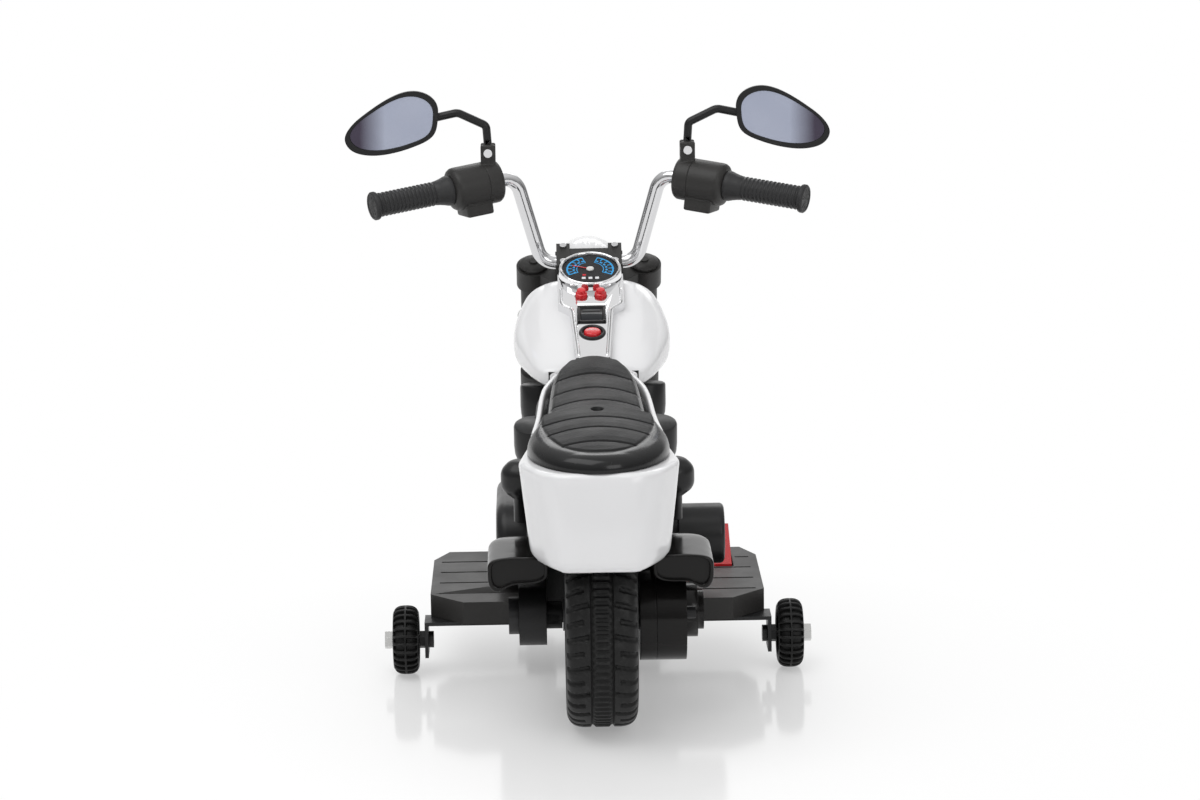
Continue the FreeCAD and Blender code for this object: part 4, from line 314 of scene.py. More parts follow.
def moulded_black(name, colour, rounding, rough_low, rough_high, grain_scale, grain_strength):
    """Dark plastic with a fine mould grain, cloudy gloss and a little pale dust."""
    finish = Finish(name)
    dust = finish.ranged(finish.noise(260.0, 6.0, 0.7), 0.66, 0.82, 0.0, 0.35)
    tone = finish.mixed(dust, opaque(colour), shade(colour, 3.0))
    rough = finish.drifting(24.0, 4.0, rough_low, rough_high)
    grain = finish.bump(finish.cells(grain_scale), grain_strength, 0.0004, finish.edge(rounding))
    return finish.done(Base_Color=tone, Roughness=rough, Specular_IOR_Level=0.3, Normal=grain)


def gloss_black(rounding):
    """Polished black plastic of the mufflers and the gearbox."""
    finish = Finish("gloss_black")
    drift = finish.noise(30.0, 4.0)
    tone = finish.mixed(drift, (0.006, 0.0056, 0.0053, 1.0), (0.011, 0.0102, 0.0098, 1.0))
    rough = finish.drifting(60.0, 5.0, 0.14, 0.26)
    peel = finish.bump(finish.noise(300.0, 2.0), 0.05, 0.0005, finish.edge(rounding))
    return finish.done(Base_Color=tone, Roughness=rough, Specular_IOR_Level=0.18, Coat_Weight=0.08,
                       Coat_Roughness=0.08, Normal=peel)


def seat_moulding(colour):
    """Leather-grained pads with a smoother skirt; the pad attribute tells them apart, and the groove
    attribute sets painted shade in the grooves.
    """
    finish = Finish("seat_moulding")
    pad = finish.attribute("pad")
    groove = finish.attribute("groove")
    dust = finish.ranged(finish.noise(520.0, 6.0, 0.75), 0.62, 0.8, 0.0, 0.5) * pad
    patches = finish.ranged(finish.noise(16.0, 3.0), 0.5, 0.72, 0.0, 1.0)
    dusty = finish.mixed(dust * patches, opaque(colour), (0.07, 0.068, 0.066, 1.0))
    # Painted shade: the pleat grooves, the seam and the screw recess are darkened to a fifth of the seat's
    # colour, where shade falls in them.
    tone = finish.mixed(groove, dusty, shade(colour, 0.22))
    rough = finish.drifting(45.0, 4.0, 0.0, 0.1) + pad * 0.2 + 0.2
    skin = finish.cells(620.0) * 0.7 + finish.noise(900.0, 3.0) * 0.5
    grain = finish.bump(skin * pad, 0.32, 0.0005)
    polish = (1.0 - pad) * 0.3
    return finish.done(Base_Color=tone, Roughness=rough, Specular_IOR_Level=0.16, Coat_Weight=polish,
                       Coat_Roughness=0.12, Normal=grain)


def bright_metal(name, colour, rough_low, rough_high, rounding):
    """Plated metal with smears and a slight ripple."""
    finish = Finish(name)
    rough = finish.drifting(55.0, 5.0, rough_low, rough_high, 0.65)
    tone = finish.mixed(finish.noise(18.0, 3.0), shade(colour, 0.94), opaque(colour))
    ripple = finish.bump(finish.noise(130.0, 2.0), 0.03, 0.0004, finish.edge(rounding))
    return finish.done(Base_Color=tone, Metallic=1.0, Roughness=rough, Normal=ripple)


def tyre_moulding(colour, rounding):
    """Blow-moulded tyre, scuffed paler where the worn attribute is high."""
    finish = Finish("tyre_moulding")
    worn_and_lit = finish.attribute("worn_and_lit")
    scuff = finish.ranged(finish.noise(140.0, 6.0, 0.7), 0.5, 0.75, 0.0, 1.0)
    tone = finish.mixed(worn_and_lit * scuff, opaque(colour), shade(colour, 2.6))
    rough = finish.drifting(70.0, 4.0, 0.36, 0.52)
    grain = finish.bump(finish.cells(700.0), 0.16, 0.0004, finish.edge(rounding))
    return finish.done(Base_Color=tone, Roughness=rough, Specular_IOR_Level=0.22, Normal=grain)


def signal_plastic(name, colour, rounding):
    """Bright plastic of the buttons, switch and pedal."""
    finish = Finish(name)
    tone = finish.mixed(finish.noise(60.0, 3.0), shade(colour, 0.82), opaque(colour))
    rough = finish.drifting(90.0, 4.0, 0.2, 0.32)
    skin = finish.bump(finish.noise(600.0, 2.0), 0.08, 0.0003, finish.edge(rounding))
    return finish.done(Base_Color=tone, Roughness=rough, Coat_Weight=0.2, Normal=skin)


def plain_moulding(name, colour, rough, grain_scale, rounding, metallic=0.0):
    """Small parts: slightly clouded colour with a fine grain."""
    finish = Finish(name)
    tone = finish.mixed(finish.noise(80.0, 4.0), shade(colour, 0.8), shade(colour, 1.1))
    gloss = finish.drifting(120.0, 3.0, rough - 0.06, rough + 0.06)
    grain = finish.bump(finish.noise(grain_scale, 3.0), 0.15, 0.0003, finish.edge(rounding))
    return finish.done(Base_Color=tone, Metallic=metallic, Roughness=gloss, Normal=grain)


def circuit_green(rounding):
    """Board with rows of gilt tracks."""
    finish = Finish("circuit_green")
    tracks = finish.add("ShaderNodeTexBrick", {"offset": 0.5}, {
        "Vector": finish.place(), "Scale": 90.0, "Mortar Size": 0.03, "Color1": (0.01, 0.12, 0.04, 1.0),
        "Color2": (0.012, 0.16, 0.05, 1.0), "Mortar": (0.35, 0.28, 0.1, 1.0)})
    rough = finish.drifting(150.0, 3.0, 0.25, 0.4)
    relief = finish.bump(finish.noise(800.0, 2.0), 0.1, 0.0003, finish.edge(rounding))
    return finish.done(Base_Color=tracks, Roughness=rough, Normal=relief)


def mirror_silver():
    """Tinted mirror foil with a painted reflection: darker at the outer tip, paler towards the inner end."""
    finish = Finish("mirror_silver")
    sides = finish.add("ShaderNodeSeparateXYZ", None, {"Vector": finish.place()})
    apart = finish.maths("ABSOLUTE", sides)
    # Painted reflection: the foil darkens towards its outer tip and stays paler at its inner end, in place of
    # what the mirror reflects.
    painted_dark_tip = finish.ranged(apart + (finish.noise(25.0, 2.0) - 0.5) * 0.006, 0.178, 0.2, 0.0, 1.0)
    haze = finish.mixed(finish.noise(30.0, 4.0), (0.33, 0.36, 0.46, 1.0), (0.44, 0.47, 0.57, 1.0))
    tone = finish.mixed(painted_dark_tip, haze, (0.06, 0.05, 0.075, 1.0))
    rough = finish.drifting(60.0, 5.0, 0.08, 0.18)
    return finish.done(Base_Color=tone, Metallic=0.75, Roughness=rough)


def lamp_lens():
    """Clear lens with upright flutes."""
    finish = Finish("lamp_lens")
    sides = finish.add("ShaderNodeTexWave", {"wave_type": "BANDS", "bands_direction": "X"},
                       {"Vector": finish.place(), "Scale": 70.0, "Distortion": 0.0})
    tone = finish.mixed(finish.noise(40.0, 2.0), (0.82, 0.84, 0.86, 1.0), (0.92, 0.93, 0.94, 1.0))
    flutes = finish.bump(sides, 0.4, 0.001)
    return finish.done(Base_Color=tone, Roughness=0.06, Transmission_Weight=0.75, IOR=1.45, Normal=flutes)


def screen_black():
    """Dark glass of the player's display."""
    finish = Finish("screen_black")
    tone = finish.mixed(finish.noise(50.0, 3.0), (0.004, 0.005, 0.007, 1.0), (0.012, 0.014, 0.018, 1.0))
    rough = finish.drifting(90.0, 4.0, 0.05, 0.14)
    return finish.done(Base_Color=tone, Roughness=rough, Specular_IOR_Level=0.2)


# Ends of the dial's scales in radians from the top, and radii as shares of the dial's
SCALE_FROM, SCALE_TO = 0.32, 2.05
SCALE_INSIDE, SCALE_OUTSIDE = 0.47, 0.86
TICK_PITCH = 0.15
LAMP_PITCH = 0.06


def dial_print(blue):
    """Printed gauge in the disc's own UV map: two blue scales with ticks, small pale lamps and a red one."""
    finish = Finish("dial_print")
    flat = finish.add("ShaderNodeUVMap", {"uv_map": "dial"})
    centred = finish.add("ShaderNodeVectorMath", {"operation": "SUBTRACT"}, {0: flat, 1: (0.5, 0.5, 0.0)})
    across = finish.add("ShaderNodeSeparateXYZ", None, {"Vector": centred})
    up = across.other("Y")
    reach = finish.add("ShaderNodeVectorMath", {"operation": "LENGTH"}, {0: centred}, output="Value") * 2.0
    turned_by = finish.maths("ABSOLUTE", finish.maths("ARCTAN2", across, up))
    fold = finish.maths("PINGPONG", turned_by, TICK_PITCH)
    within = between(turned_by, SCALE_FROM, SCALE_TO)
    outer_band = between(reach, 0.8, SCALE_OUTSIDE) * within
    inner_band = between(reach, SCALE_INSIDE, 0.5) * within
    long_ticks = (fold < 0.028) * between(reach, 0.66, 0.82) * within
    blocks = (fold > 0.06) * between(reach, 0.56, 0.63) * within
    ends = between(turned_by, SCALE_TO - 0.07, SCALE_TO) + between(turned_by, SCALE_FROM, SCALE_FROM + 0.05)
    end_bars = ends * between(reach, SCALE_INSIDE, SCALE_OUTSIDE)
    blue_share = finish.maths("MINIMUM", outer_band + inner_band + long_ticks + blocks + end_bars, 1.0)
    face = finish.mixed(finish.noise(300.0, 3.0), (0.008, 0.008, 0.009, 1.0), (0.016, 0.016, 0.018, 1.0))
    scales = finish.mixed(blue_share, face, opaque(blue))
    lamp_row = between(up, -0.335, -0.265) * between(across, -0.17, 0.17)
    lamps = lamp_row * (finish.maths("PINGPONG", across + 2 * LAMP_PITCH, LAMP_PITCH) < 0.034)
    with_lamps = finish.mixed(lamps, scales, (0.75, 0.76, 0.78, 1.0))
    warning = between(up, -0.22, -0.17) * between(across, -0.14, -0.08)
    tone = finish.mixed(warning, with_lamps, (0.6, 0.02, 0.03, 1.0))
    rough = finish.drifting(120.0, 3.0, 0.18, 0.3)
    return finish.done(Base_Color=tone, Roughness=rough, Specular_IOR_Level=0.15)


def make_finishes(scene):
    """All the finishes, by name."""
    colours = scene.bike_finishes
    rounding = scene.bike_details.edge_round
    plastic = tuple(colours.plastic)
    return {
        "white": gloss_white(tuple(colours.bodywork), rounding * 1.3),
        "matte": moulded_black("moulded_black", plastic, rounding, 0.36, 0.5, 520.0, 0.14),
        "satin": moulded_black("satin_black", plastic, rounding * 1.4, 0.26, 0.38, 620.0, 0.08),
        # This finish's lighter base colour (0.03 against the plain 0.011) is painted light: it stands for the
        # overhead light on the tops of the switch housings, bar clamps, fork and footboards, not wear.
        "worn_and_lit": moulded_black("painted_lit_black", (0.03, 0.029, 0.028), rounding, 0.36, 0.5, 520.0, 0.14),
        "gloss": gloss_black(rounding * 1.4),
        "seat": seat_moulding(tuple(colours.seat)),
        "chrome_plate": bright_metal("chrome_plate", (0.9, 0.9, 0.91), 0.04, 0.1, rounding * 0.8),
        "chrome_steel": bright_metal("chrome_steel", (0.7, 0.7, 0.71), 0.06, 0.14, rounding * 0.6),
        "red": signal_plastic("signal_red", tuple(colours.signal), rounding * 0.5),
        "tyre": tyre_moulding(tuple(colours.tyre), rounding * 0.5),
        "rim": plain_moulding("rim_moulding", (0.055, 0.056, 0.058), 0.36, 500.0, rounding),
        # The grips' base colour of 0.03, lighter than the plain black plastic, is painted light for the
        # overhead light on their tops.
        "grip": moulded_black("grip_moulding", (0.03, 0.03, 0.031), rounding * 0.4, 0.42, 0.56, 800.0, 0.16),
        "steel": bright_metal("plated_steel", (0.62, 0.62, 0.61), 0.18, 0.32, rounding * 0.5),
        "black_steel": plain_moulding("black_steel", (0.02, 0.02, 0.021), 0.4, 420.0, rounding * 0.5, 0.35),
        "dial": dial_print(tuple(colours.print_blue)),
        "mirror": mirror_silver(),
        "lens": lamp_lens(),
        "screen": screen_black(),
        "nylon": plain_moulding("nylon_gear", (0.62, 0.6, 0.54), 0.42, 380.0, rounding * 0.4),
        "battery": plain_moulding("battery_case", (0.05, 0.055, 0.065), 0.45, 260.0, rounding),
        "board": circuit_green(rounding * 0.4),
        "pale": plain_moulding("pale_mark", (0.7, 0.7, 0.68), 0.35, 500.0, rounding * 0.3),
    }


FINISHES = {}


# Mesh helpers


def squared(value, power):
    """Turns a circle's coordinate into a rounded square's."""
    return math.copysign(abs(value) ** power, value)


def run_length(points):
    """Length of a run of straight lines."""
    return sum(math.dist(a, b) for a, b in zip(points, points[1:]))


def walk(points, share):
    """Point at a share of the length of a run of straight lines."""
    lengths = [math.dist(a, b) for a, b in zip(points, points[1:])]
    left = min(max(share, 0.0), 1.0) * sum(lengths)
    for (start, end), length in zip(zip(points, points[1:]), lengths):
        if left <= length:
            part = left / length
            return tuple(a + (b - a) * part for a, b in zip(start, end))
        left -= length
    return points[-1]


def soft_walk(points, share, window):
    """Point on a run of lines whose corners are rounded off over a window."""
    total = run_length(points)
    spots = [walk(points, share + step * window / total / 4) for step in range(-4, 5)]
    return tuple(sum(values) / len(spots) for values in zip(*spots))


def smooth_line(stops, place):
    """Value at a place on a smooth line through (place, value) stops."""
    if place <= stops[0][0]:
        return stops[0][1]
    if place >= stops[-1][0]:
        return stops[-1][1]
    number = 0
    while place > stops[number + 1][0]:
        number += 1
    (start, first), (end, last) = stops[number], stops[number + 1]
    before = stops[max(number - 1, 0)]
    after = stops[min(number + 2, len(stops) - 1)]
    span = end - start
    leave = (last - before[1]) / (end - before[0]) * span
    arrive = (after[1] - first) / (after[0] - start) * span
    share = (place - start) / span
    square = share * share
    cube = square * share
    return (first * (2 * cube - 3 * square + 1) + leave * (cube - 2 * square + share)
            + last * (3 * square - 2 * cube) + arrive * (cube - square))


def ease(low, high, value):
    """Rises smoothly from 0 at low to 1 at high."""
    share = min(max((value - low) / (high - low), 0.0), 1.0)
    return share * share * (3 - 2 * share)


def dent(distance, width):
    """Share of a groove's full depth at a distance from its middle."""
    return math.exp(-((distance / width) ** 2))


def surface_grid(columns, rows, place):
    """Grid whose corners run from 0 to 1 both ways, set point by point."""
    bm = bmesh.new()
    bmesh.ops.create_grid(bm, x_segments=columns, y_segments=rows, size=0.5)
    for vert in bm.verts:
        vert.co = place(vert.co.x + 0.5, vert.co.y + 0.5)
    return bm


def close_up(bm):
    """Merge doubles, fill open rims and turn the faces outwards."""
    bmesh.ops.remove_doubles(bm, verts=bm.verts, dist=WELD)
    bmesh.ops.dissolve_degenerate(bm, edges=bm.edges, dist=MM * 0.005)
    rims = [edge for edge in bm.edges if edge.is_boundary]
    if rims:
        bmesh.ops.holes_fill(bm, edges=rims, sides=0)
    bmesh.ops.recalc_face_normals(bm, faces=bm.faces)
    return bm


def turned(outline, steps=64):
    """Body of revolution about X through (x, radius) points in millimetres."""
    bm = bmesh.new()
    verts = [bm.verts.new((x * MM, 0, radius * MM)) for x, radius in outline]
    edges = [bm.edges.new(ends) for ends in zip(verts, verts[1:])]
    bmesh.ops.spin(bm, geom=verts + edges, cent=(0, 0, 0), axis=(1, 0, 0), angle=FULL_TURN, steps=steps,
                   use_merge=True, use_duplicate=False)
    return close_up(bm)


def block(size, centre, rounding, segments=3):
    """Box with rounded edges; sizes and centre in millimetres in its own frame."""
    bm = bmesh.new()
    bmesh.ops.create_cube(bm, size=MM)
    bmesh.ops.scale(bm, vec=Vector(size), verts=bm.verts)
    bmesh.ops.bevel(bm, geom=bm.edges, offset=rounding * MM, segments=segments, profile=0.5, affect="EDGES",
                    material=-1)
    bmesh.ops.translate(bm, vec=Vector(centre) * MM, verts=bm.verts)
    return bm


def moved(bm, matrix):
    """Form carried by a matrix; a mirror image keeps its faces outwards."""
    bmesh.ops.transform(bm, matrix=matrix, verts=bm.verts)
    if matrix.determinant() < 0:
        bmesh.ops.reverse_faces(bm, faces=bm.faces)
    return bm


def joined(forms):
    """One mesh of several forms; each form's faces keep their material number."""
    whole = bmesh.new()
    for form in forms:
        part = bpy.data.meshes.new("form")
        form.to_mesh(part)
        form.free()
        whole.from_mesh(part)
        bpy.data.meshes.remove(part)
    return whole


def doubled(bm):
    """Copy of a form."""
    part = bpy.data.meshes.new("form")
    bm.to_mesh(part)
    twin = bmesh.new()
    twin.from_mesh(part)
    bpy.data.meshes.remove(part)
    return twin


def both_sides(bm):
    """A form and its mirror image."""
    return joined([moved(doubled(bm), MIRRORED), bm])


def painted(bm, number):
    """Form whose faces all take one of its piece's finishes, by number."""
    for face in bm.faces:
        face.material_index = number
    return bm


def add_piece(name, bm, finishes, body, replaced=(), crease=38.0):
    """Put a form in the scene, riding on a body, with its finishes and the node that it stands for."""
    mesh = bpy.data.meshes.new(name)
    bm.to_mesh(mesh)
    bm.free()
    piece = bpy.data.objects.new(name, mesh)
    bpy.context.scene.collection.objects.link(piece)
    for finish in finishes:
        mesh.materials.append(FINISHES[finish])
    mesh.shade_smooth()
    mesh.set_sharp_from_angle(angle=math.radians(crease))
    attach(piece, body)
    if replaced:
        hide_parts(*replaced)
    return piece


def solid_copy(node):
    """Merged copy of a solid's mesh, with its flat faces joined up."""
    bm = bmesh.new()
    bm.from_mesh(frame["nodes"][node].data)
    bmesh.ops.remove_doubles(bm, verts=bm.verts, dist=MM * 0.01)
    bmesh.ops.dissolve_limit(bm, angle_limit=math.radians(1.5), verts=bm.verts, edges=bm.edges)
    return bm


def body_of(node):
    """Body that a solid rides on."""
    return frame["nodes"][node]["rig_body"]


def moulded_copy(node, finish, crease=32.0):
    """Stand-in for a solid with merged faces, smooth shading and rounded edges in its finish."""
    return add_piece(node + "_moulding", solid_copy(node), [finish], body_of(node), (node,), crease)


def dress(node, finish):
    """Give a solid that stays in view its finish."""
    mesh = frame["nodes"][node].data
    mesh.materials.clear()
    mesh.materials.append(FINISHES[finish])
    for face in mesh.polygons:
        face.material_index = 0


# Bodywork


FENDER_LOW = 151.0
FENDER_TOP = 227.0
# Lower edge of the rear fender as (way round from the middle of its back, height)
FENDER_EDGE = [(0.0, 151.0), (31.0, 151.1), (34.5, 151.9), (50.0, 151.7), (66.0, 151.6), (75.0, 152.6),
               (82.0, 155.6), (88.0, 160.5), (95.0, 165.5), (108.0, 169.5), (130.0, 171.0), (170.0, 171.5)]
# Rows of its grid where the lip, the wall, the rolled edge and the ledge end
LIP_END, WALL_END, ROLL_END, LEDGE_END = 2, 19, 23, 26
WALL_TOP = FENDER_TOP - 4.0
ROLL_RADIUS = 3.7


def fender_plan(z, inset):
    """Plan of the rear fender at a height, from the front right edge round the back to the front left."""
    share = (z - FENDER_LOW) / (FENDER_TOP - FENDER_LOW)
    half = 55.0 + 9.0 * share - inset
    back = 105.0 - 10.0 * share - inset
    right = [(half - 9.0, 18.0), (half, 46.0 - back), (half - 15.0, 13.0 - back), (31.0, -back)]
    return right + [(-x, y) for x, y in reversed(right)]


def rear_fender_shell():
    """Shell with a drooping centre panel, rounded corners, a rolled top edge and a ledge under the seat."""
    girth = run_length(fender_plan(FENDER_TOP, 0))

    def place(u, v):
        row = v * LEDGE_END
        low = smooth_line(FENDER_EDGE, abs(u - 0.5) * girth)
        if row <= LIP_END:
            z = low + (LIP_END - row) * 3.0
            inset = 2.4
        elif row <= WALL_END:
            z = low + (WALL_TOP - low) * (row - LIP_END) / (WALL_END - LIP_END)
            inset = 0.5 * max(LIP_END + 1 - row, 0.0)
        elif row <= ROLL_END:
            angle = (row - WALL_END) / (ROLL_END - WALL_END) * math.pi / 2
            z = WALL_TOP + ROLL_RADIUS * math.sin(angle)
            inset = ROLL_RADIUS * (1 - math.cos(angle))
        else:
            z = WALL_TOP + ROLL_RADIUS - (row - ROLL_END) * 0.1
            inset = ROLL_RADIUS + (row - ROLL_END) * 5.0
        x, y = soft_walk(fender_plan(min(z, FENDER_TOP), inset), u, 8.0)
        if y < -40:
            share = min(max((z - FENDER_LOW) / (FENDER_TOP - FENDER_LOW), 0.0), 1.0)
            y -= 1.6 * math.sin(math.pi * share) * dent(x, 60.0)
        return at(x, y, z)

    shell = surface_grid(150, LEDGE_END, place)
    bmesh.ops.remove_doubles(shell, verts=shell.verts, dist=WELD)
    bmesh.ops.recalc_face_normals(shell, faces=shell.faces)
    return shell


# Inner face and edges of the right rail as (distance forward of the rear axle, place)
RAIL_INSIDE = [(14.0, 48.5), (60.0, 44.8), (140.0, 39.6), (183.0, 29.4)]
RAIL_LOW = [(14.0, 222.5), (60.0, 222.5), (140.0, 229.5), (183.0, 238.6)]
RAIL_TOP = [(14.0, 236.0), (60.0, 238.0), (140.0, 245.0), (183.0, 249.0)]
RAIL_FROM, RAIL_TO = 14.0, 183.0
RAIL_HALF = 2.3
RAIL_POWER = 0.55


def rail_strip():
    """Thin white rail beside the rider's pad, from the fender to the tank."""

    def place(u, v):
        y = RAIL_FROM + v * (RAIL_TO - RAIL_FROM)
        angle = FULL_TURN * u
        low = smooth_line(RAIL_LOW, y)
        tall = (smooth_line(RAIL_TOP, y) - low) / 2
        x = smooth_line(RAIL_INSIDE, y) + RAIL_HALF + RAIL_HALF * squared(math.cos(angle), RAIL_POWER)
        z = low + tall + tall * squared(math.sin(angle), RAIL_POWER)
        return at(x, y, z)

    return close_up(surface_grid(28, 40, place))


# Half width and edges of the tank as (distance forward of the rear axle, place)
TANK_HALF = [(184.0, 36.0), (188.0, 42.0), (198.0, 49.0), (222.5, 58.5), (262.0, 67.4), (307.5, 59.5),
             (326.0, 47.5), (338.0, 33.0)]
TANK_LOW = [(184.0, 238.0), (188.0, 234.5), (198.0, 232.0), (222.5, 231.0), (262.0, 230.2), (307.5, 237.0),
            (338.0, 261.0)]
TANK_TOP = [(184.0, 250.0), (188.0, 254.5), (198.0, 259.0), (222.5, 269.0), (262.0, 284.2), (307.5, 305.2),
            (326.0, 304.5), (338.0, 296.0)]
TANK_MIDDLE = 261.0
TANK_REACH = 77.0
TANK_WAIST = 0.58
TANK_POWER = 0.7


def tank_shell():
    """Teardrop tank, widest above half its height, with rounded ends."""

    def place(u, v):
        turn = math.pi * min(max(v, 0.0), 1.0)
        y = TANK_MIDDLE - TANK_REACH * math.cos(turn)
        ends = min(math.sin(turn) / 0.34, 1.0)
        ends = math.sqrt(ends * (2 - ends))
        angle = FULL_TURN * u
        low = smooth_line(TANK_LOW, y)
        top = smooth_line(TANK_TOP, y)
        middle = low + (top - low) * TANK_WAIST
        across = squared(math.cos(angle), TANK_POWER)
        up = squared(math.sin(angle), TANK_POWER)
        rise = top - middle if up > 0 else middle - low
        return at(smooth_line(TANK_HALF, y) * across * ends, y, middle + rise * up * ends)

    return close_up(surface_grid(96, 80, place))


class MOTORBIKE_OT_bodywork(bpy.types.Operator):
    """Tank, fenders and lamp shell in gloss white"""

    bl_idname = "motorbike.bodywork"
    bl_label = "Bodywork"

    def execute(self, context):
        for node in ("front_fender", "headlight_shell"):
            moulded_copy(node, "white", 42.0)
        add_piece("tank_shell", tank_shell(), ["white"], "chassis", ("fuel_tank",), 60.0)
        fender = add_piece("rear_fender_shell", rear_fender_shell(), ["white"], "chassis",
                           ("rear_fender",), 50.0)
        wall = fender.modifiers.new("wall", "SOLIDIFY")
        wall.thickness = 2.0 * MM
        wall.offset = -1.0
        add_piece("rail_strips", both_sides(rail_strip()), ["white"], "chassis")
        return {"FINISHED"}


# Seat


PILLION_HALF = 56.0
PILLION_WAIST_Y = -20.0
PILLION_TAIL = 75.0
PILLION_BASE = 227.25
# Share of the way out from the spine that is the pillion's top
PILLION_TOP = 0.7
# Shares of the way round where its front and its straight side end
FRONT_SHARE, SIDE_SHARE = 0.02, 0.16
# Half width, rise and base of the rider's pad as (distance forward of the rear axle, place)
RIDER_HALF = [(10.0, 43.0), (62.0, 43.0), (140.0, 39.0), (160.0, 35.0), (172.0, 30.5), (180.0, 25.0),
             (185.0, 17.0)]
RIDER_RISE = [(10.0, 17.0), (62.0, 18.0), (140.0, 18.5), (166.0, 22.0), (185.0, 24.0)]
RIDER_BASE = [(10.0, 227.3), (62.0, 227.3), (140.0, 234.2), (185.0, 238.5)]
# Pleat lines, forward of the rear axle
PILLION_PLEATS = (-3.0, -28.0, -58.0)
RIDER_PLEATS = (42.0, 76.0, 110.0, 146.0)
RIDER_FROM, RIDER_TO = 10.0, 185.0
# Shares of the rider's pad's grid in its end faces, and across it where its top ends and its wall starts
REAR_FALL, NOSE_FALL = 0.03, 0.06
PAD_TOP, PAD_WALL = 0.74, 0.88
SEAM_HALF, SEAM_FRONT, SEAM_LENGTH = 45.5, 24.0, 101.0


def pad_section(u, half, rise, corner, crown):
    """Across and up from the base at a share across a pad: leaning wall, round shoulder and crowned top."""
    side = 2 * u - 1
    reach = abs(side)
    lean = min(3.5, half * 0.1)
    corner = min(corner, half * 0.45)
    top = half - lean - corner
    if reach < PAD_TOP:
        share = reach / PAD_TOP
        x = top * share
        z = rise + crown * (1 - share * share)
    elif reach < PAD_WALL:
        angle = (reach - PAD_TOP) / (PAD_WALL - PAD_TOP) * math.pi / 2
        x = top + corner * math.sin(angle)
        z = rise - corner * (1 - math.cos(angle))
    else:
        share = (reach - PAD_WALL) / (1 - PAD_WALL)
        x = half - lean + lean * share
        z = (rise - corner) * (1 - share)
    return math.copysign(x, side), z


def seam_distance(x, y):
    """Signed distance from the U-shaped seam round the pillion's pad, negative inside."""
    across = abs(x) / SEAM_HALF
    along = max(SEAM_FRONT - y, 0.0) / SEAM_LENGTH
    power = 2.5
    level = across ** power + along ** power
    slope_x = power * across ** (power - 1) / SEAM_HALF
    slope_y = power * along ** (power - 1) / SEAM_LENGTH
    return (level - 1) / max(math.hypot(slope_x, slope_y), 0.004)


def pleat_share(x, y, lines, half, bow, width):
    """Depth share of the nearest pleat line and the pillow between lines."""
    shifted = y + bow * (x / half) ** 2
    nearest = min(abs(shifted - line) for line in lines)
    return dent(nearest, width), min(nearest / 9.0, 1.0)


def pillion_spoke(share):
    """Start on the spine, end on the outline and fall of the front face, at a share of the way round."""
    round_way = min(share, 1 - share)
    side = 1 if share < 0.5 else -1
    fall = min(round_way / FRONT_SHARE, 1.0)
    if round_way < SIDE_SHARE:
        y = 28.0 - 48.0 * max(round_way - FRONT_SHARE, 0.0) / (SIDE_SHARE - FRONT_SHARE)
        half = PILLION_HALF - 11.5 * ease(PILLION_WAIST_Y, 40.0, y)
        return y, side * half, y, fall
    angle = (round_way - SIDE_SHARE) / (0.5 - SIDE_SHARE) * math.pi / 2
    x = side * PILLION_HALF * math.cos(angle)
    y = PILLION_WAIST_Y - PILLION_TAIL * math.sin(angle)
    return PILLION_WAIST_Y, x, y, fall


def pillion_pad(depth):
    """Raised pad with a smooth skirt, a U seam, bowed pleats and a screw recess, with its marks stored."""

    def spot(u, v):
        start_y, end_x, end_y, fall = pillion_spoke(v)
        reach = math.hypot(end_x, end_y - start_y)
        skirt = 16.0 - 11.5 * ease(PILLION_WAIST_Y, 34.0, start_y)
        inner = 1 - skirt / reach
        wall = max(u - PILLION_TOP, 0.0) / (1 - PILLION_TOP) * math.pi / 2
        along = min(u / PILLION_TOP, 1.0) * inner + (1 - inner) * math.sin(wall) ** 0.83
        x = end_x * along
        y = start_y + (end_y - start_y) * along
        top = 13.0 + max(y + 79.0, 0.0) * 0.103
        crown = 4.2 * ease(-95.0, -60.0, y) * (1 - (along / inner) ** 2 if u < PILLION_TOP else 0.0)
        nose = max(y - 23.0, 0.0)
        up = (top + crown) * max(math.cos(wall), 0.0) ** 0.83
        up -= (5.0 - math.sqrt(max(25.0 - nose * nose, 0.0))) * 0.7
        y -= 18.0 * (x / 46.0) ** 2 * ease(-35.0, 28.0, y)
        return x, y, max(up, 0.0) * fall, fall

    def marks(x, y):
        edge = seam_distance(x, y)
        inside = 1 - ease(-1.2, 0.6, edge)
        groove, pillow = pleat_share(x, y, PILLION_PLEATS, 41.0, 9.5, 0.9)
        hole = 1 - ease(4.0, 5.2, math.hypot(x, y - 14.0))
        return edge, inside, groove * inside, pillow, hole

    def place(u, v):
        x, y, up, fall = spot(u, v)
        edge, inside, groove, pillow, hole = marks(x, y)
        up -= fall * (depth / MM) * (groove + 0.6 * dent(edge + 0.5, 1.0)) - 0.7 * pillow * inside * fall
        up -= 2.6 * hole * fall
        return at(x, y, PILLION_BASE + max(up, 0.0))

    bm = surface_grid(90, 400, place)
    return mark_pads(close_up(bm), marks)


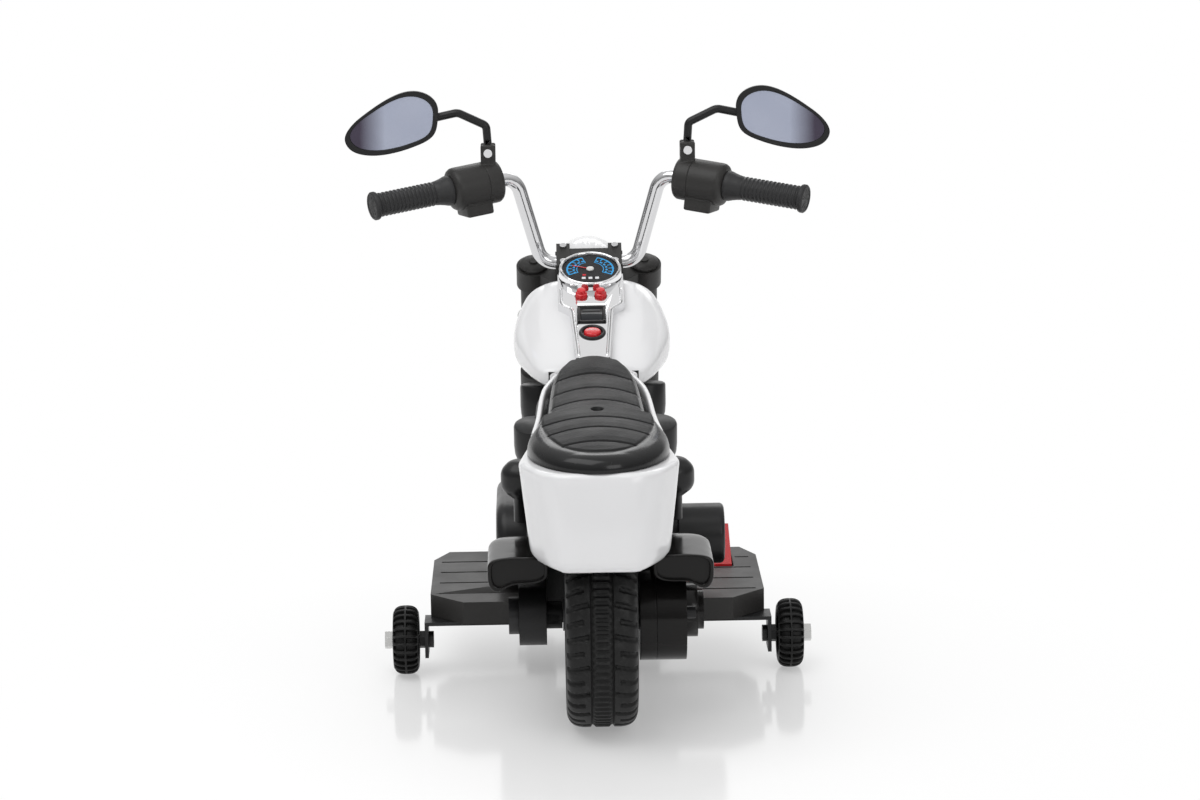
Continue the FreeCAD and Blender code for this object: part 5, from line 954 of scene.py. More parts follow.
def rider_pad(depth):
    """Long pad with bowed pleats and a seam along each side, with its marks stored."""

    def spot(u, v):
        if v < REAR_FALL:
            y, fall = RIDER_FROM, v / REAR_FALL
        elif v > 1 - NOSE_FALL:
            y, fall = RIDER_TO, (1 - v) / NOSE_FALL
        else:
            share = (v - REAR_FALL) / (1 - REAR_FALL - NOSE_FALL)
            y, fall = RIDER_FROM + share * (RIDER_TO - RIDER_FROM), 1.0
        half = smooth_line(RIDER_HALF, y)
        rise = smooth_line(RIDER_RISE, y)
        x, up = pad_section(u, half, rise, 7.5, 3.0)
        nose = max(y - 177.0, 0.0)
        up -= 8.0 - math.sqrt(max(64.0 - nose * nose, 0.0))
        return x, y, max(up, 0.0) * fall, fall

    def marks(x, y):
        half = smooth_line(RIDER_HALF, y)
        edge = abs(x) - (half - 6.5)
        inside = 1 - ease(-1.0, 0.5, edge)
        groove, pillow = pleat_share(x, y, RIDER_PLEATS, 34.0, 11.0, 0.9)
        return edge, inside, groove * inside, pillow, 0.0

    def place(u, v):
        x, y, up, fall = spot(u, v)
        edge, inside, groove, pillow, hole = marks(x, y)
        up -= fall * (depth / MM) * (groove + dent(edge, 1.0)) - 0.8 * pillow * inside * fall
        return at(x, y, smooth_line(RIDER_BASE, y) + max(up, 0.0))

    bm = surface_grid(110, 170, place)
    return mark_pads(close_up(bm), marks)


def mark_pads(bm, marks):
    """Store where the grained pad is, and where the grooves take their painted shade, for the seat's finish.
    """
    pad = bm.verts.layers.float.new("pad")
    groove_shade = bm.verts.layers.float.new("groove")
    for vert in bm.verts:
        x = vert.co.x / MM
        y = (vert.co.y - REAR_AXLE.y) / MM
        edge, inside, groove, pillow, hole = marks(x, y)
        vert[pad] = inside
        # The groove mark is painted shade in the pleats, the seam and the screw recess.
        vert[groove_shade] = min(max(groove, dent(edge, 0.9), hole), 1.0)
    return bm


class MOTORBIKE_OT_seat(bpy.types.Operator):
    """Pillion and rider's pads with pleats, seams and a screw recess"""

    bl_idname = "motorbike.seat"
    bl_label = "Seat"

    def execute(self, context):
        depth = context.scene.bike_details.pleat_depth
        add_piece("pillion_pad", pillion_pad(depth), ["seat"], "chassis", ("seat",), 60.0)
        add_piece("rider_pad", rider_pad(depth), ["seat"], "chassis", (), 60.0)
        return {"FINISHED"}


# Wheels


def wheel_section(half, radius, band, shoulder):
    """Closed section of a tyre as (across, radius) points, from one bead over the tread to the other."""
    low = radius - band
    left = [(-half + 1.0, low), (-half, low + 3.0), (-half, radius - shoulder),
            (-half + shoulder * 0.12, radius - shoulder * 0.5),
            (-half + shoulder * 0.45, radius - shoulder * 0.14),
            (-half + shoulder, radius), (-half * 0.3, radius)]
    return left + [(-x, out) for x, out in reversed(left)]


def tread_cut(turn, across, half, pitches):
    """Depth share of the tread at a turn round the tyre and a place across it."""
    pitch = FULL_TURN / pitches
    phase = (turn / pitch) % 1.0
    away = abs(across)
    rib = 6.2
    ring = dent(away - rib - 1.4, 1.1)
    if away < rib:
        bars = abs((phase * 2.0) % 1.0 - 0.5) * 2
        return max(ring, 0.8 * ease(0.52, 0.72, bars) * ease(rib, rib - 1.2, away))
    slant = (phase - 0.55 * ((away - rib) / half) ** 1.3) % 1.0
    middle = abs(slant - 0.5) * 2
    long_cut = 1 - ease(0.2, 0.42, middle)
    start = 9.5 if int(turn / pitch) % 2 else 13.5
    reach = ease(start, start + 1.5, away) * ease(half + 0.4, half - 1.5, away)
    return max(ring, long_cut * reach)


def tyre_form(half, radius, band, shoulder, pitches, depth, cut):
    """Tyre with its tread cut into it, about X at the origin, with how worn each point is."""
    section = wheel_section(half, radius, band, shoulder)

    def place(u, v):
        x, r = soft_walk(section, v, 3.0) if 0.02 < v < 0.98 else walk(section, v)
        turn = FULL_TURN * u
        share = cut(turn, x, half, pitches)
        low = (r - (radius - band)) / band
        r -= share * (depth / MM) * ease(0.25, 0.6, low)
        return Vector((x * MM, r * MM * math.cos(turn), r * MM * math.sin(turn)))

    bm = surface_grid(pitches * 12, max(int(run_length(section) / 1.5), 60), place)
    bmesh.ops.remove_doubles(bm, verts=bm.verts, dist=WELD)
    rims = [edge for edge in bm.edges if edge.is_boundary]
    bmesh.ops.bridge_loops(bm, edges=rims)
    bmesh.ops.recalc_face_normals(bm, faces=bm.faces)
    worn_and_lit = bm.verts.layers.float.new("worn_and_lit")
    for vert in bm.verts:
        out = math.hypot(vert.co.y, vert.co.z) / MM
        vert[worn_and_lit] = ease(radius - 1.2, radius - 0.1, out)
    return bm


def lug_cut(turn, across, half, pitches):
    """Depth share between the cross ribs, middle rib and rims of a stabiliser wheel."""
    phase = (turn * pitches / FULL_TURN) % 1.0
    away = abs(across)
    bar = 1 - ease(0.14, 0.26, abs(phase - 0.5))
    line = 1 - ease(0.8, 1.3, away)
    rim = ease(half - 1.8, half - 0.9, away)
    return 1 - max(bar, line, rim)


class MOTORBIKE_OT_road_wheels(bpy.types.Operator):
    """Tyres with their tread, and the wheel centres"""

    bl_idname = "motorbike.road_wheels"
    bl_label = "Road wheels"

    def execute(self, context):
        depth = context.scene.bike_details.tread_depth
        for end, half, shoulder, axle in (("rear", 28.5, 12.0, REAR_AXLE), ("front", 24.0, 11.0, FRONT_AXLE)):
            tyre = tyre_form(half, radius=90.0, band=13.0, shoulder=shoulder, pitches=44, depth=depth,
                             cut=tread_cut)
            add_piece(end + "_tyre_tread", moved(tyre, Matrix.Translation(axle)), ["tyre"], end + "_wheel",
                      (end + "_tyre",), 40.0)
        for node in ("rear_rim", "front_rim"):
            moulded_copy(node, "rim")
        for node in ("rear_axle", "front_axle"):
            moulded_copy(node, "black_steel")
        return {"FINISHED"}


# Faces further out than this are bright nuts, and the rest is black bolt
OUTER_NUTS_FROM = 172.5


class MOTORBIKE_OT_stabilisers(bpy.types.Operator):
    """Stabiliser wheels with lugs, their brackets, bolts and nuts"""

    bl_idname = "motorbike.stabilisers"
    bl_label = "Stabilisers"

    def execute(self, context):
        for side, name in ((1, "right"), (-1, "left")):
            node = "stabiliser_wheel_" + name
            low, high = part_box(node)
            tread = tyre_form(half=11.0, radius=29.0, band=9.0, shoulder=7.4, pitches=26, depth=0.0034,
                              cut=lug_cut)
            cap = (high.x - low.x) / 2 / MM - 1.5
            section = [(-9.5, 20.5), (-9.5, 4.1), (8.0, 20.5), (8.0, 13.0), (9.5, 11.0), (cap, 4.1),
                       (-9.5, 4.1)]
            hub = turned([(side * x, radius) for x, radius in section])
            wheel = moved(joined([tread, hub]), Matrix.Translation((low + high) / 2))
            add_piece(node + "_tread", wheel, ["tyre"], body_of(node), (node,), 35.0)
        moulded_copy("stabiliser_brackets", "black_steel")
        bolts = solid_copy("stabiliser_bolts")
        for face in bolts.faces:
            face.material_index = 0 if abs(face.calc_center_median().x) > OUTER_NUTS_FROM * MM else 1
        add_piece("stabiliser_bolt_set", bolts, ["steel", "black_steel"], "chassis",
                  ("stabiliser_bolts",), 32.0)
        return {"FINISHED"}


# Handlebar and controls


def grip_form(rings):
    """Moulded grip with a flared collar, ring ribs and an end flange, along X from the riser."""
    start, end = GRIP_START, GRIP_END
    outline = [(start, 6.4), (start, 13.0), (start + 1.6, 13.4), (start + 4.0, 13.0), (start + 7.0, 12.0),
               (start + 11.0, 11.0), (start + 15.0, 10.4)]
    first, last = start + 16.0, end - 6.5
    pitch = (last - first) / rings
    for number in range(rings):
        place = first + number * pitch
        outline += [(place, 9.7), (place + pitch * 0.2, 9.8), (place + pitch * 0.36, 10.5),
                    (place + pitch * 0.64, 10.6), (place + pitch * 0.82, 9.8)]
    outline += [(last, 9.7), (end - 5.4, 10.2), (end - 4.6, 12.0), (end - 3.6, 12.5), (end - 1.2, 12.5),
                (end - 0.2, 11.6), (end, 10.2), (end - 0.5, 9.8), (end - 0.5, 0.0)]
    return turned(outline, 72)


def control_housing():
    """Switch housing on the bar: rounded drum with a parting line, lower block and forked mirror post."""
    outline = [(17.0, 6.6), (17.0, 15.5), (17.8, 17.6), (19.6, 18.8), (21.4, 19.0), (31.4, 19.0),
               (31.9, 18.4), (32.4, 19.0), (56.8, 19.0), (59.4, 18.7), (61.4, 17.5), (62.5, 15.6),
               (63.1, 14.6), (63.1, 6.6)]
    drum = turned(outline, 96)
    low_block = block((25.0, 26.0, 16.0), (42.0, 0.0, -17.6), 2.0)
    seam = block((25.5, 26.5, 1.2), (42.0, 0.0, -15.0), 0.5)
    forms = [moved(form, BAR_END) for form in (drum, low_block, seam)]
    post = Matrix.Translation(MIRROR_PIVOT)
    forms.append(moved(block((13.0, 18.0, 18.0), (0.0, 0.0, -15.8), 1.6), post))
    for side in (-1, 1):
        forms.append(moved(block((13.0, 5.4, 16.0), (0.0, side * 6.3, -1.0), 1.6), post))
    return joined(forms)


class MOTORBIKE_OT_controls(bpy.types.Operator):
    """Grips and switch housings on the bar ends"""

    bl_idname = "motorbike.controls"
    bl_label = "Grips and switch housings"

    def execute(self, context):
        rings = context.scene.bike_details.grip_rings
        cap = turned([(-0.5, 0.0), (-0.5, 8.6), (-1.1, 8.9), (-1.1, 0.0)], 48)
        cap = painted(moved(cap, Matrix.Translation((GRIP_END * MM, 0, 0))), 1)
        grip = moved(joined([grip_form(rings), cap]), BAR_END)
        add_piece("grip_sleeves", both_sides(grip), ["grip", "satin"], "steering",
                  ("grips",), 50.0)
        for name, turn in SIDES:
            add_piece("switch_housing_" + name, moved(control_housing(), turn), ["worn_and_lit"], "steering",
                      ("control_box_" + name,), 40.0)
        return {"FINISHED"}


class MOTORBIKE_OT_handlebar(bpy.types.Operator):
    """Chromed bar, its clamps and screws"""

    bl_idname = "motorbike.handlebar"
    bl_label = "Handlebar"

    def execute(self, context):
        bar = solid_copy("handlebar")
        for end in (BAR_END, MIRRORED @ BAR_END):
            back = end.inverted()
            for vert in bar.verts:
                local = back @ vert.co
                if local.x > BAR_TIP * MM:
                    local.x = BAR_TIP * MM
                    vert.co = end @ local
        add_piece("handlebar_moulding", bar, ["chrome_steel"], "steering",
                  ("handlebar",), 60.0)
        moulded_copy("handlebar_clamps", "worn_and_lit")
        moulded_copy("steering_screws", "chrome_steel")
        return {"FINISHED"}


# Hinge of the right mirror in the frame, and lines of its stem across and up from there, in millimetres
MIRROR_HINGE = (87.5, 102.1, 415.05)
EYE_TOP = 4.6
STEM_RADIUS = 3.6
STEM_IN_FORK = 2.9
STEM_SLACK = 0.08
STEM_OF_SOLID = [(0.0, 0.0), (0.0, 30.0), (26.5, 42.0), (46.5, 42.0)]
STEM_LINE = [(0.0, 5.2), (1.2, 23.2), (26.0, 35.0), (45.0, 31.0)]


def stem_gap(spot):
    """Distance in millimetres of a point from the centre line of its mirror's stem in the solids."""
    flat = Vector((abs(spot.x) / MM - MIRROR_HINGE[0], spot.z / MM - MIRROR_HINGE[2]))
    gaps = []
    for start, end in zip(STEM_OF_SOLID, STEM_OF_SOLID[1:]):
        run = Vector(end) - Vector(start)
        share = min(max((flat - Vector(start)).dot(run) / run.length_squared, 0.0), 1.0)
        gaps.append((flat - Vector(start) - run * share).length)
    return math.hypot(min(gaps), spot.y / MM - MIRROR_HINGE[1])


def bare_mirror(node):
    """Copy of a mirror's solid without its stem."""
    bm = solid_copy(node)
    above = (MIRROR_HINGE[2] + EYE_TOP) * MM
    stem = {vert for vert in bm.verts if vert.co.z > above and stem_gap(vert.co) < STEM_RADIUS + STEM_SLACK}
    faces = [face for face in bm.faces if all(vert in stem for vert in face.verts)]
    bmesh.ops.delete(bm, geom=faces, context="FACES")
    rims = [edge for edge in bm.edges if edge.is_boundary]
    bmesh.ops.holes_fill(bm, edges=rims, sides=0)
    return bm


def mirror_stem():
    """Stem of the right mirror with two soft bends, from the hinge eye to the shell."""

    def place(u, v):
        spot = Vector(soft_walk(STEM_LINE, v, 3.0))
        ahead = Vector(soft_walk(STEM_LINE, v + 0.01, 3.0))
        behind = Vector(soft_walk(STEM_LINE, v - 0.01, 3.0))
        run = (ahead - behind).normalized()
        out = STEM_RADIUS * math.cos(FULL_TURN * u)
        half = STEM_IN_FORK + (STEM_RADIUS - STEM_IN_FORK) * ease(9.5, 12.5, spot.y)
        aside = half * math.sin(FULL_TURN * u)
        return (Vector(MIRROR_HINGE) + Vector((spot.x - out * run.y, aside, spot.y + out * run.x))) * MM

    return close_up(surface_grid(28, 90, place))


class MOTORBIKE_OT_mirrors(bpy.types.Operator):
    """Mirror shells on their stems, with tinted glass"""

    bl_idname = "motorbike.mirrors"
    bl_label = "Mirrors"

    def execute(self, context):
        for name, turn in SIDES:
            node = "mirror_" + name
            shell = joined([bare_mirror(node), moved(mirror_stem(), turn)])
            add_piece(node + "_moulding", shell, ["satin"], body_of(node), (node,), 45.0)
            moulded_copy("mirror_glass_" + name, "mirror", 45.0)
        return {"FINISHED"}


# Dash


def on_deck(along, rise=0.0, across=0.0):
    """Place on the console's deck, in millimetres along it, above it and across it."""
    return DECK @ Matrix.Translation((across * MM, along * MM, rise * MM))


def dial_disc(radius):
    """Printed disc with a UV map that runs across its face."""
    bm = bmesh.new()
    bmesh.ops.create_circle(bm, cap_ends=True, cap_tris=False, segments=96, radius=radius * MM)
    flat = bm.loops.layers.uv.new("dial")
    across = 2 * radius * MM
    for face in bm.faces:
        for loop in face.loops:
            loop[flat].uv = (loop.vert.co.x / across + 0.5, loop.vert.co.y / across + 0.5)
    top = bmesh.ops.extrude_face_region(bm, geom=list(bm.faces))
    verts = [item for item in top["geom"] if isinstance(item, bmesh.types.BMVert)]
    bmesh.ops.translate(bm, vec=(0, 0, 1.4 * MM), verts=verts)
    bmesh.ops.recalc_face_normals(bm, faces=bm.faces)
    return bm


def button_form():
    """Domed push button with a fluted skirt, standing on Z."""
    bm = turned([(-1.6, 0.0), (-1.6, 5.2), (2.4, 5.2), (3.2, 5.0), (3.8, 3.9), (6.0, 3.9), (6.8, 3.4),
                 (7.0, 2.2), (7.0, 0.0)], 48)
    for vert in bm.verts:
        radius = math.hypot(vert.co.y, vert.co.z)
        if vert.co.x < 2.6 * MM and radius > 5.0 * MM:
            flute = 1 - 0.05 * max(math.cos(12 * math.atan2(vert.co.z, vert.co.y)), 0.0)
            vert.co.y *= flute
            vert.co.z *= flute
    return moved(bm, UPRIGHT)


BEAD_LINE = [(11.9, 2.0), (12.2, 8.0), (16.0, 74.0), (17.0, 77.5), (24.6, 85.0), (25.8, 88.0), (25.9, 112.0)]


def console_bead():
    """Half-round bead inside the right edge of the console, on its deck."""

    def place(u, v):
        x, y = soft_walk(BEAD_LINE, v, 1.5)
        angle = math.pi * u
        taper = math.sqrt(min(v, 1 - v, 0.03) / 0.03)
        return Vector((x + 1.3 * math.cos(angle), y, -0.2 + 1.1 * taper * math.sin(angle))) * MM

    return close_up(surface_grid(10, 60, place))


class MOTORBIKE_OT_dash(bpy.types.Operator):
    """Chromed console with its dial, buttons, player and switch"""

    bl_idname = "motorbike.dash"
    bl_label = "Dash"

    def execute(self, context):
        moulded_copy("dash_console", "chrome_plate", 30.0)
        dial = moved(dial_disc(DIAL_RADIUS), on_deck(DIAL_ALONG, rise=3.9))
        add_piece("dial_face", dial, ["dial"], "chassis", ("gauge_face",))
        self.add_trim()
        self.add_hub()
        for name, side in (("horn_button", -1), ("music_button", 1)):
            button = moved(button_form(), on_deck(BUTTON_ALONG, across=side * BUTTON_ASIDE))
            add_piece(name + "_cap", button, ["red"], body_of(name), (name,), 40.0)
        self.add_player()
        self.add_switch()
        return {"FINISHED"}

    def add_switch(self):
        """Round rocker switch sunk in a low bezel."""
        place = on_deck(SWITCH_ALONG) @ UPRIGHT
        ring = turned([(-2.0, 8.3), (-2.0, 11.2), (0.4, 11.5), (1.2, 11.1), (1.6, 10.3), (1.5, 9.2),
                       (0.9, 8.4), (-2.0, 8.3)], 72)
        add_piece("switch_bezel", moved(ring, place), ["satin"], "chassis",
                  ("power_switch_bezel",), 50.0)
        rocker = turned([(-1.8, 0.0), (-1.8, 7.4), (1.1, 7.2), (1.9, 6.6), (2.3, 5.4), (2.3, 0.0)], 72)
        tilt = Matrix.Rotation(math.radians(7), 3, "Z")
        bmesh.ops.rotate(rocker, cent=(0, 0, 0), matrix=tilt, verts=rocker.verts)
        mark = painted(block((0.5, 0.7, 7.0), (2.15, 1.6, 0.0), 0.15), 1)
        add_piece("switch_rocker", moved(joined([rocker, mark]), place), ["red", "pale"],
                  body_of("power_switch_rocker"), ("power_switch_rocker",), 50.0)

    def add_trim(self):
        """Flared chrome ring round the dial and a raised bead along the console's edges."""
        ring = turned([(-5.0, 26.6), (-1.0, 28.2), (0.8, 28.0), (4.6, 27.3), (6.0, 27.1), (7.0, 26.6),
                       (7.4, 25.8), (7.0, 25.0), (5.6, 24.5), (3.6, 24.4), (-5.0, 24.4), (-5.0, 26.6)], 96)
        ring = moved(ring, on_deck(DIAL_ALONG) @ UPRIGHT)
        beads = moved(both_sides(console_bead()), DECK)
        add_piece("console_trim", joined([ring, beads]), ["chrome_plate"], "chassis",
                  (), 50.0)

    def add_hub(self):
        """Needle of the dial and the pale hub over its end."""
        place = on_deck(DIAL_ALONG, rise=5.3)
        needle = block((17.0, 0.9, 0.5), (-8.0, 0.0, 0.5), 0.2)
        needle = moved(needle, Matrix.Rotation(math.radians(-20), 4, "Z"))
        hub = turned([(0.0, 0.0), (0.0, 3.4), (0.9, 3.2), (1.3, 2.6), (1.3, 0.0)], 40)
        hub = painted(moved(hub, UPRIGHT), 1)
        add_piece("dial_needle", moved(joined([needle, hub]), place), ["red", "pale"], "chassis")

    def add_player(self):
        """Display module: frame, sunk screen and pale strip."""
        place = on_deck(PLAYER_ALONG)
        body = block((23.6, 25.6, 4.0), (0.0, 0.0, -1.6), 0.3)
        rails = [block((24.0, 2.4, 5.5), (0.0, side * 11.8, -1.25), 0.5) for side in (-1, 1)]
        rails += [block((2.4, 26.0, 5.5), (side * 10.8, 0.0, -1.25), 0.5) for side in (-1, 1)]
        screen = painted(block((18.2, 12.4, 0.5), (0.0, -4.0, 0.6), 0.15), 1)
        strip = painted(block((15.0, 2.2, 0.4), (0.0, 6.4, 0.6), 0.12), 2)
        form = joined([body, *rails, screen, strip])
        add_piece("music_display", moved(form, place), ["satin", "screen", "rim"],
                  "chassis", ("music_player",))


# Engine, exhausts and shocks


CYLINDER_FOOT = 140.0


def engine_cylinder(base_x, base_y, lean, height, fins):
    """Dummy cylinder on the right side: finned barrel under a round head, leaning along the frame."""
    outline = [(0.0, 0.0), (0.0, 14.0)]
    pitch = (height - 34.0) / fins
    for number in range(fins):
        place = number * pitch
        outline += [(place + pitch * 0.2, 14.0), (place + pitch * 0.34, 16.8), (place + pitch * 0.74, 16.8),
                    (place + pitch * 0.88, 14.0)]
    head = height - 33.0
    outline += [(head, 13.0), (head + 2.0, 15.4), (head + 7.0, 17.0), (head + 14.0, 17.6),
                (height - 2.4, 17.6), (height - 0.8, 17.0), (height, 15.4), (height, 0.0)]
    leaning = Matrix.Rotation(math.radians(lean), 4, "X") @ UPRIGHT
    return moved(turned(outline, 64), Matrix.Translation(at(base_x, base_y, CYLINDER_FOOT)) @ leaning)


def crankcase():
    """Lower blocks of the dummy engine on the right side: a rounded belly and the waist above it."""
    belly = block((19.0, 154.0, 84.0), (48.0, 211.0, 110.0), 7.0, 4)
    waist = block((17.0, 96.0, 22.0), (47.0, 196.0, 154.0), 6.0, 4)
    return [moved(form, Matrix.Translation((0, REAR_AXLE.y, 0))) for form in (belly, waist)]


PANEL_POWER = 0.55


def side_panel():
    """Rounded panel under the rail beside the rider's pad."""

    def place(u, v):
        y = 92.0 + 88.0 * v
        angle = FULL_TURN * u
        ends = math.sqrt(max(math.sin(math.pi * min(max(v, 0.0), 1.0)), 0.0))
        middle = 206.0 + 14.0 * v
        x = 40.0 + 9.5 * squared(math.cos(angle), PANEL_POWER) * ends
        z = middle + 22.0 * squared(math.sin(angle), PANEL_POWER) * ends
        return at(x, y, z)

    return close_up(surface_grid(40, 40, place))


# Shares of the muffler's grid where its sunk end and its rim end
SUNK_END, RIM_END = 0.08, 0.16
SUNK_SIZE = 0.86
MUFFLER_POWER = 0.62


def muffler():
    """Rounded muffler on the right side: deeper outside, domed in front, with a rim round its sunk end."""

    def place(u, v):
        angle = FULL_TURN * u
        if v < SUNK_END:
            y = -48.0 - 4.0 * v / SUNK_END
            grow = SUNK_SIZE
        elif v < RIM_END:
            share = (v - SUNK_END) / (RIM_END - SUNK_END)
            y = -52.0 + 1.6 * (1 - math.sqrt(1 - share * share))
            grow = SUNK_SIZE + (1 - SUNK_SIZE) * math.sqrt(share)
        else:
            along = (v - RIM_END) / (1 - RIM_END)
            y = -50.4 + 112.0 * along
            grow = math.sqrt(max(1 - ease(0.55, 1.04, along), 0.0))
        x = 64.8 + 24.0 * squared(math.cos(angle), MUFFLER_POWER) * grow
        z = 140.0 + 10.8 * squared(math.sin(angle), MUFFLER_POWER) * grow - 3.0 * ease(0.5, 1.0, v)
        z -= 9.0 * grow * ease(66.0, 86.0, x) * max(-math.sin(angle), 0.0) ** 0.6
        return at(x, y, z)

    return close_up(surface_grid(72, 60, place))


def header_pipe():
    """Pipe from the muffler to the engine on the right side."""
    pipe = turned([(-24.0, 0.0), (-24.0, 8.3), (60.0, 8.3), (74.0, 8.3), (74.0, 0.0)], 40)
    return moved(pipe, Matrix.Translation(at(50.0, 60.0, 139.0)) @ Matrix.Rotation(math.pi / 2, 4, "Z"))


class MOTORBIKE_OT_engine(bpy.types.Operator):
    """Dummy engine covers with fins, air cleaner, primary cover, exhausts and shocks"""

    bl_idname = "motorbike.engine"
    bl_label = "Engine"

    def execute(self, context):
        fins = context.scene.bike_details.fin_count
        for name, turn in SIDES:
            rear = engine_cylinder(base_x=50.0, base_y=142.0, lean=14.0, height=82.0, fins=fins)
            front = engine_cylinder(base_x=45.0, base_y=238.0, lean=-6.0, height=88.0, fins=fins)
            node = "engine_cover_" + name
            add_piece(node + "_form", moved(joined([*crankcase(), rear, front]), turn), ["satin"], "chassis",
                      (node,), 40.0)
        add_piece("side_panels", both_sides(side_panel()), ["matte"], "chassis", (), 60.0)
        for node in ("air_cleaner", "primary_cover"):
            moulded_copy(node, "satin")
        exhaust = joined([muffler(), header_pipe()])
        add_piece("mufflers", both_sides(exhaust), ["gloss"], "chassis", ("exhausts",), 45.0)
        moulded_copy("shocks", "satin", 50.0)
        return {"FINISHED"}


# Footboards


class MOTORBIKE_OT_footboards(bpy.types.Operator):
    """Grooved footboards, accelerator pedal, its spring and switch"""

    bl_idname = "motorbike.footboards"
    bl_label = "Footboards and pedal"

    def execute(self, context):
        for name in ("left", "right"):
            moulded_copy("footboard_" + name, "worn_and_lit")
        moulded_copy("accelerator_pedal", "red")
        for node in ("screw_and_pin", "pedal_spring"):
            moulded_copy(node, "steel", 50.0)
        dress("pedal_switch", "matte")
        return {"FINISHED"}


# Fork


class MOTORBIKE_OT_fork(bpy.types.Operator):
    """Fork, stem, sleeve and headlight lens"""

    bl_idname = "motorbike.fork"
    bl_label = "Fork and headlight"

    def execute(self, context):
        for node in ("fork_bridge", "fork_legs"):
            moulded_copy(node, "worn_and_lit", 40.0)
        for node in ("steering_stem", "head_sleeve"):
            moulded_copy(node, "steel")
        moulded_copy("headlight_lens", "lens")
        return {"FINISHED"}


# Chassis and drive


class MOTORBIKE_OT_chassis(bpy.types.Operator):
    """Chassis halves and the parts inside and under them"""

    bl_idname = "motorbike.chassis"
    bl_label = "Chassis and drive"

    def execute(self, context):
        for node in ("chassis_left", "chassis_right"):
            moulded_copy(node, "matte")
        for node in ("gearbox_case", "gearbox_cover"):
            moulded_copy(node, "gloss")
        for node, finish in (("drive_motor", "steel"), ("drive_gear", "nylon"), ("motor_pinion", "steel"),
                             ("battery", "battery"), ("control_board", "board"), ("speaker", "satin"),
                             ("charge_socket", "matte")):
            dress(node, finish)
        return {"FINISHED"}


# Stage


# Sizes of the stage in metres
FLOOR_HALF = 30.0
FLOOR_DROP = 0.0006
AIM_UP, AIM_RIGHT = 0.171, 0.0022


def floor_finish():
    """White floor that keeps a soft shadow and a reflection round the motorbike."""
    finish = Finish("studio_floor")
    path = finish.add("ShaderNodeLightPath", output="Is Camera Ray")
    rays = path + path.other("Is Glossy Ray") + path.other("Is Transmission Ray")
    seen = finish.maths("MINIMUM", rays, 1.0)
    drift = finish.drifting(0.4, 2.0, 0.06, 0.12)
    apart = finish.add("ShaderNodeVectorMath", {"operation": "SUBTRACT"},
                       {0: finish.place(), 1: (0.0, -0.26, 0.0)})
    away = finish.add("ShaderNodeVectorMath", {"operation": "LENGTH"}, {0: apart}, output="Value")
    share = finish.ranged(away, 0.17, 0.52, 0.3, 1.0)
    plain = finish.add("ShaderNodeBsdfPrincipled", None,
                       {"Base Color": (0.94, 0.94, 0.94, 1.0), "Roughness": drift, "Specular IOR Level": 0.9})
    white = finish.add("ShaderNodeEmission", None, {"Color": (1.0, 1.0, 1.0, 1.0), "Strength": 1.0})
    mixed = finish.add("ShaderNodeMixShader", None, {0: seen * share, 1: plain, 2: white})
    finish.add_output(mixed)
    return finish.material


def studio_room(strength):
    """Light from all around: dim towards the horizon, bright overhead and white ahead of the motorbike."""
    finish = Finish("studio", bpy.data.worlds.new("studio"))
    sides = finish.add("ShaderNodeSeparateXYZ", None, {"Vector": finish.place()})
    overhead = finish.ranged(sides.other("Z"), 0.0, 0.8, strength * 0.5, strength * 2.0)
    backdrop = finish.ranged(sides.other("Y"), 0.72, 0.92, 0.0, 1.0)
    level = finish.maths("MAXIMUM", overhead, backdrop)
    light = finish.add("ShaderNodeBackground", None, {"Color": (1.0, 1.0, 1.0, 1.0), "Strength": level})
    finish.add_output(light, "ShaderNodeOutputWorld")
    return finish.material


def add_light(name, place, aim, size, power):
    """Soft rectangular light at a place, turned towards its aim."""
    lamp = bpy.data.lights.new(name, "AREA")
    lamp.shape = "RECTANGLE"
    lamp.size = size[0]
    lamp.size_y = size[1]
    lamp.energy = power
    holder = bpy.data.objects.new(name, lamp)
    holder.location = place
    holder.rotation_euler = (Vector(aim) - Vector(place)).to_track_quat("-Z", "Y").to_euler()
    bpy.context.scene.collection.objects.link(holder)


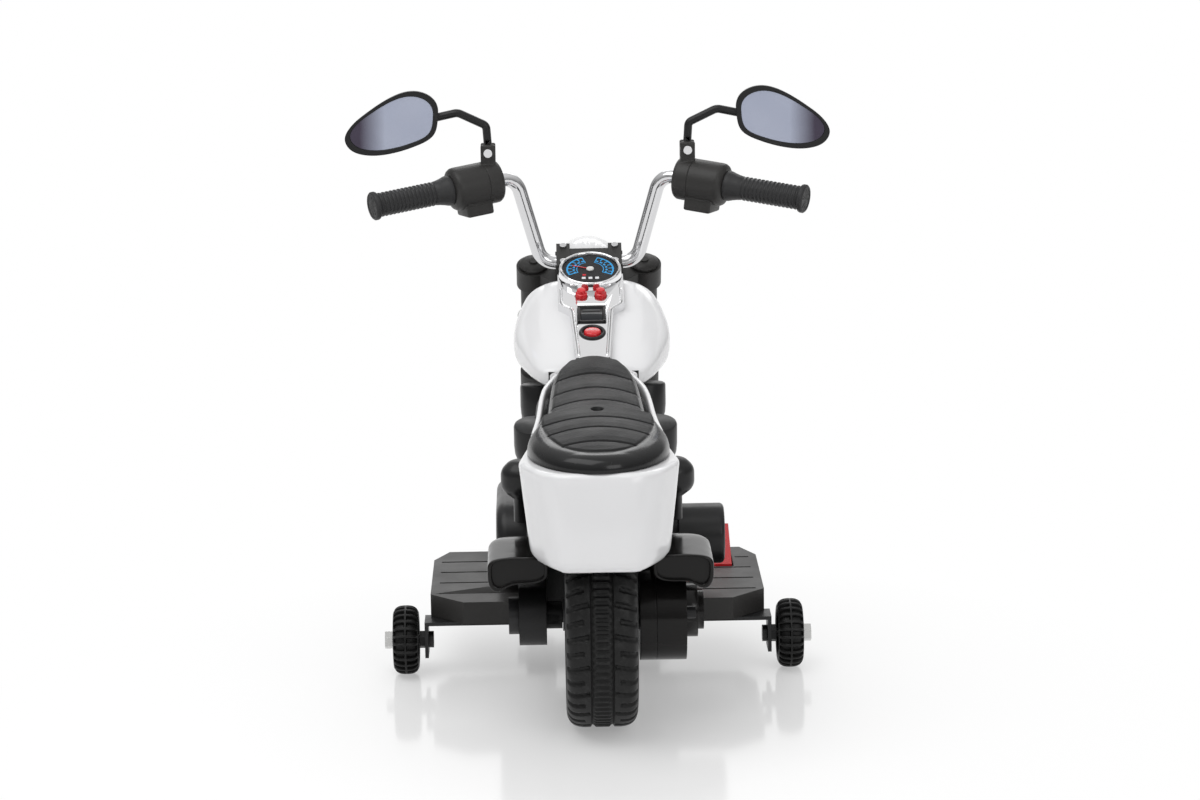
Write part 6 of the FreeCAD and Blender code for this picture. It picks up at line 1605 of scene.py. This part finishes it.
class MOTORBIKE_OT_stage(bpy.types.Operator):
    """Pale floor, soft light and the camera"""

    bl_idname = "motorbike.stage"
    bl_label = "Stage"

    def execute(self, context):
        scene = context.scene
        studio = scene.bike_studio
        bm = bmesh.new()
        bmesh.ops.create_grid(bm, x_segments=4, y_segments=4, size=FLOOR_HALF)
        bmesh.ops.translate(bm, vec=(0, 0, -FLOOR_DROP), verts=bm.verts)
        mesh = bpy.data.meshes.new("studio_floor")
        bm.to_mesh(mesh)
        bm.free()
        mesh.materials.append(floor_finish())
        floor = bpy.data.objects.new("studio_floor", mesh)
        scene.collection.objects.link(floor)
        scene.world = studio_room(studio.sky)
        add_light("key_light", (-0.9, -0.8, 2.3), (0.0, 0.0, 0.2), (2.2, 1.6), 24.0)
        add_light("fill_light", (1.4, -2.6, 1.3), (0.0, 0.0, 0.25), (1.4, 1.2), 13.0)
        add_light("rim_light", (0.2, 2.2, 1.8), (0.0, 0.0, 0.3), (2.0, 0.8), 10.0)
        self.add_camera(scene, studio)
        scene.view_settings.view_transform = "Standard"
        return {"FINISHED"}

    def add_camera(self, scene, studio):
        """Camera behind the motorbike, looking forward and down at the photograph's angle."""
        camera = bpy.data.cameras.new("camera")
        camera.sensor_width = 36.0
        camera.lens = studio.lens
        camera.clip_end = 200.0
        holder = bpy.data.objects.new("camera", camera)
        turn = Matrix.Rotation(studio.turn, 3, "Z")
        look = turn @ Vector((0, math.cos(studio.elevation), -math.sin(studio.elevation)))
        up = turn @ Vector((0, math.sin(studio.elevation), math.cos(studio.elevation)))
        right = look.cross(up)
        target = REAR_AXLE + AIM_UP * up + AIM_RIGHT * right
        rolled_up = Matrix.Rotation(studio.roll, 3, look) @ up
        rolled_right = look.cross(rolled_up)
        axes = Matrix((rolled_right, rolled_up, -look)).transposed()
        holder.matrix_world = Matrix.Translation(target - studio.distance * look) @ axes.to_4x4()
        scene.collection.objects.link(holder)
        scene.camera = holder


class MOTORBIKE_PT_pieces(bpy.types.Panel):
    """Settings and pieces of the motorbike"""

    bl_idname = "MOTORBIKE_PT_pieces"
    bl_label = "Kids electric motorbike"
    bl_space_type = "VIEW_3D"
    bl_region_type = "UI"
    bl_category = "Motorbike"

    def draw(self, context):
        layout = self.layout
        for group in (context.scene.bike_finishes, context.scene.bike_details, context.scene.bike_studio):
            box = layout.box()
            for name in group.__annotations__:
                box.prop(group, name)
        for piece in PIECES:
            layout.operator(piece.bl_idname)


PIECES = (
    MOTORBIKE_OT_bodywork, MOTORBIKE_OT_seat, MOTORBIKE_OT_road_wheels, MOTORBIKE_OT_stabilisers,
    MOTORBIKE_OT_handlebar, MOTORBIKE_OT_controls, MOTORBIKE_OT_mirrors, MOTORBIKE_OT_dash,
    MOTORBIKE_OT_engine, MOTORBIKE_OT_footboards, MOTORBIKE_OT_fork, MOTORBIKE_OT_chassis, MOTORBIKE_OT_stage,
)
CLASSES = (BikeFinishes, BikeDetails, BikeStudio, *PIECES, MOTORBIKE_PT_pieces)


def register():
    for item in CLASSES:
        bpy.utils.register_class(item)
    bpy.types.Scene.bike_finishes = bpy.props.PointerProperty(type=BikeFinishes)
    bpy.types.Scene.bike_details = bpy.props.PointerProperty(type=BikeDetails)
    bpy.types.Scene.bike_studio = bpy.props.PointerProperty(type=BikeStudio)


def unregister():
    del bpy.types.Scene.bike_studio
    del bpy.types.Scene.bike_details
    del bpy.types.Scene.bike_finishes
    for item in reversed(CLASSES):
        bpy.utils.unregister_class(item)


def main():
    """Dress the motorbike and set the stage."""
    register()
    FINISHES.update(make_finishes(bpy.context.scene))
    bpy.ops.motorbike.bodywork()
    bpy.ops.motorbike.seat()
    bpy.ops.motorbike.road_wheels()
    bpy.ops.motorbike.stabilisers()
    bpy.ops.motorbike.handlebar()
    bpy.ops.motorbike.controls()
    bpy.ops.motorbike.mirrors()
    bpy.ops.motorbike.dash()
    bpy.ops.motorbike.engine()
    bpy.ops.motorbike.footboards()
    bpy.ops.motorbike.fork()
    bpy.ops.motorbike.chassis()
    bpy.ops.motorbike.stage()


if __name__ == "__main__":
    main()
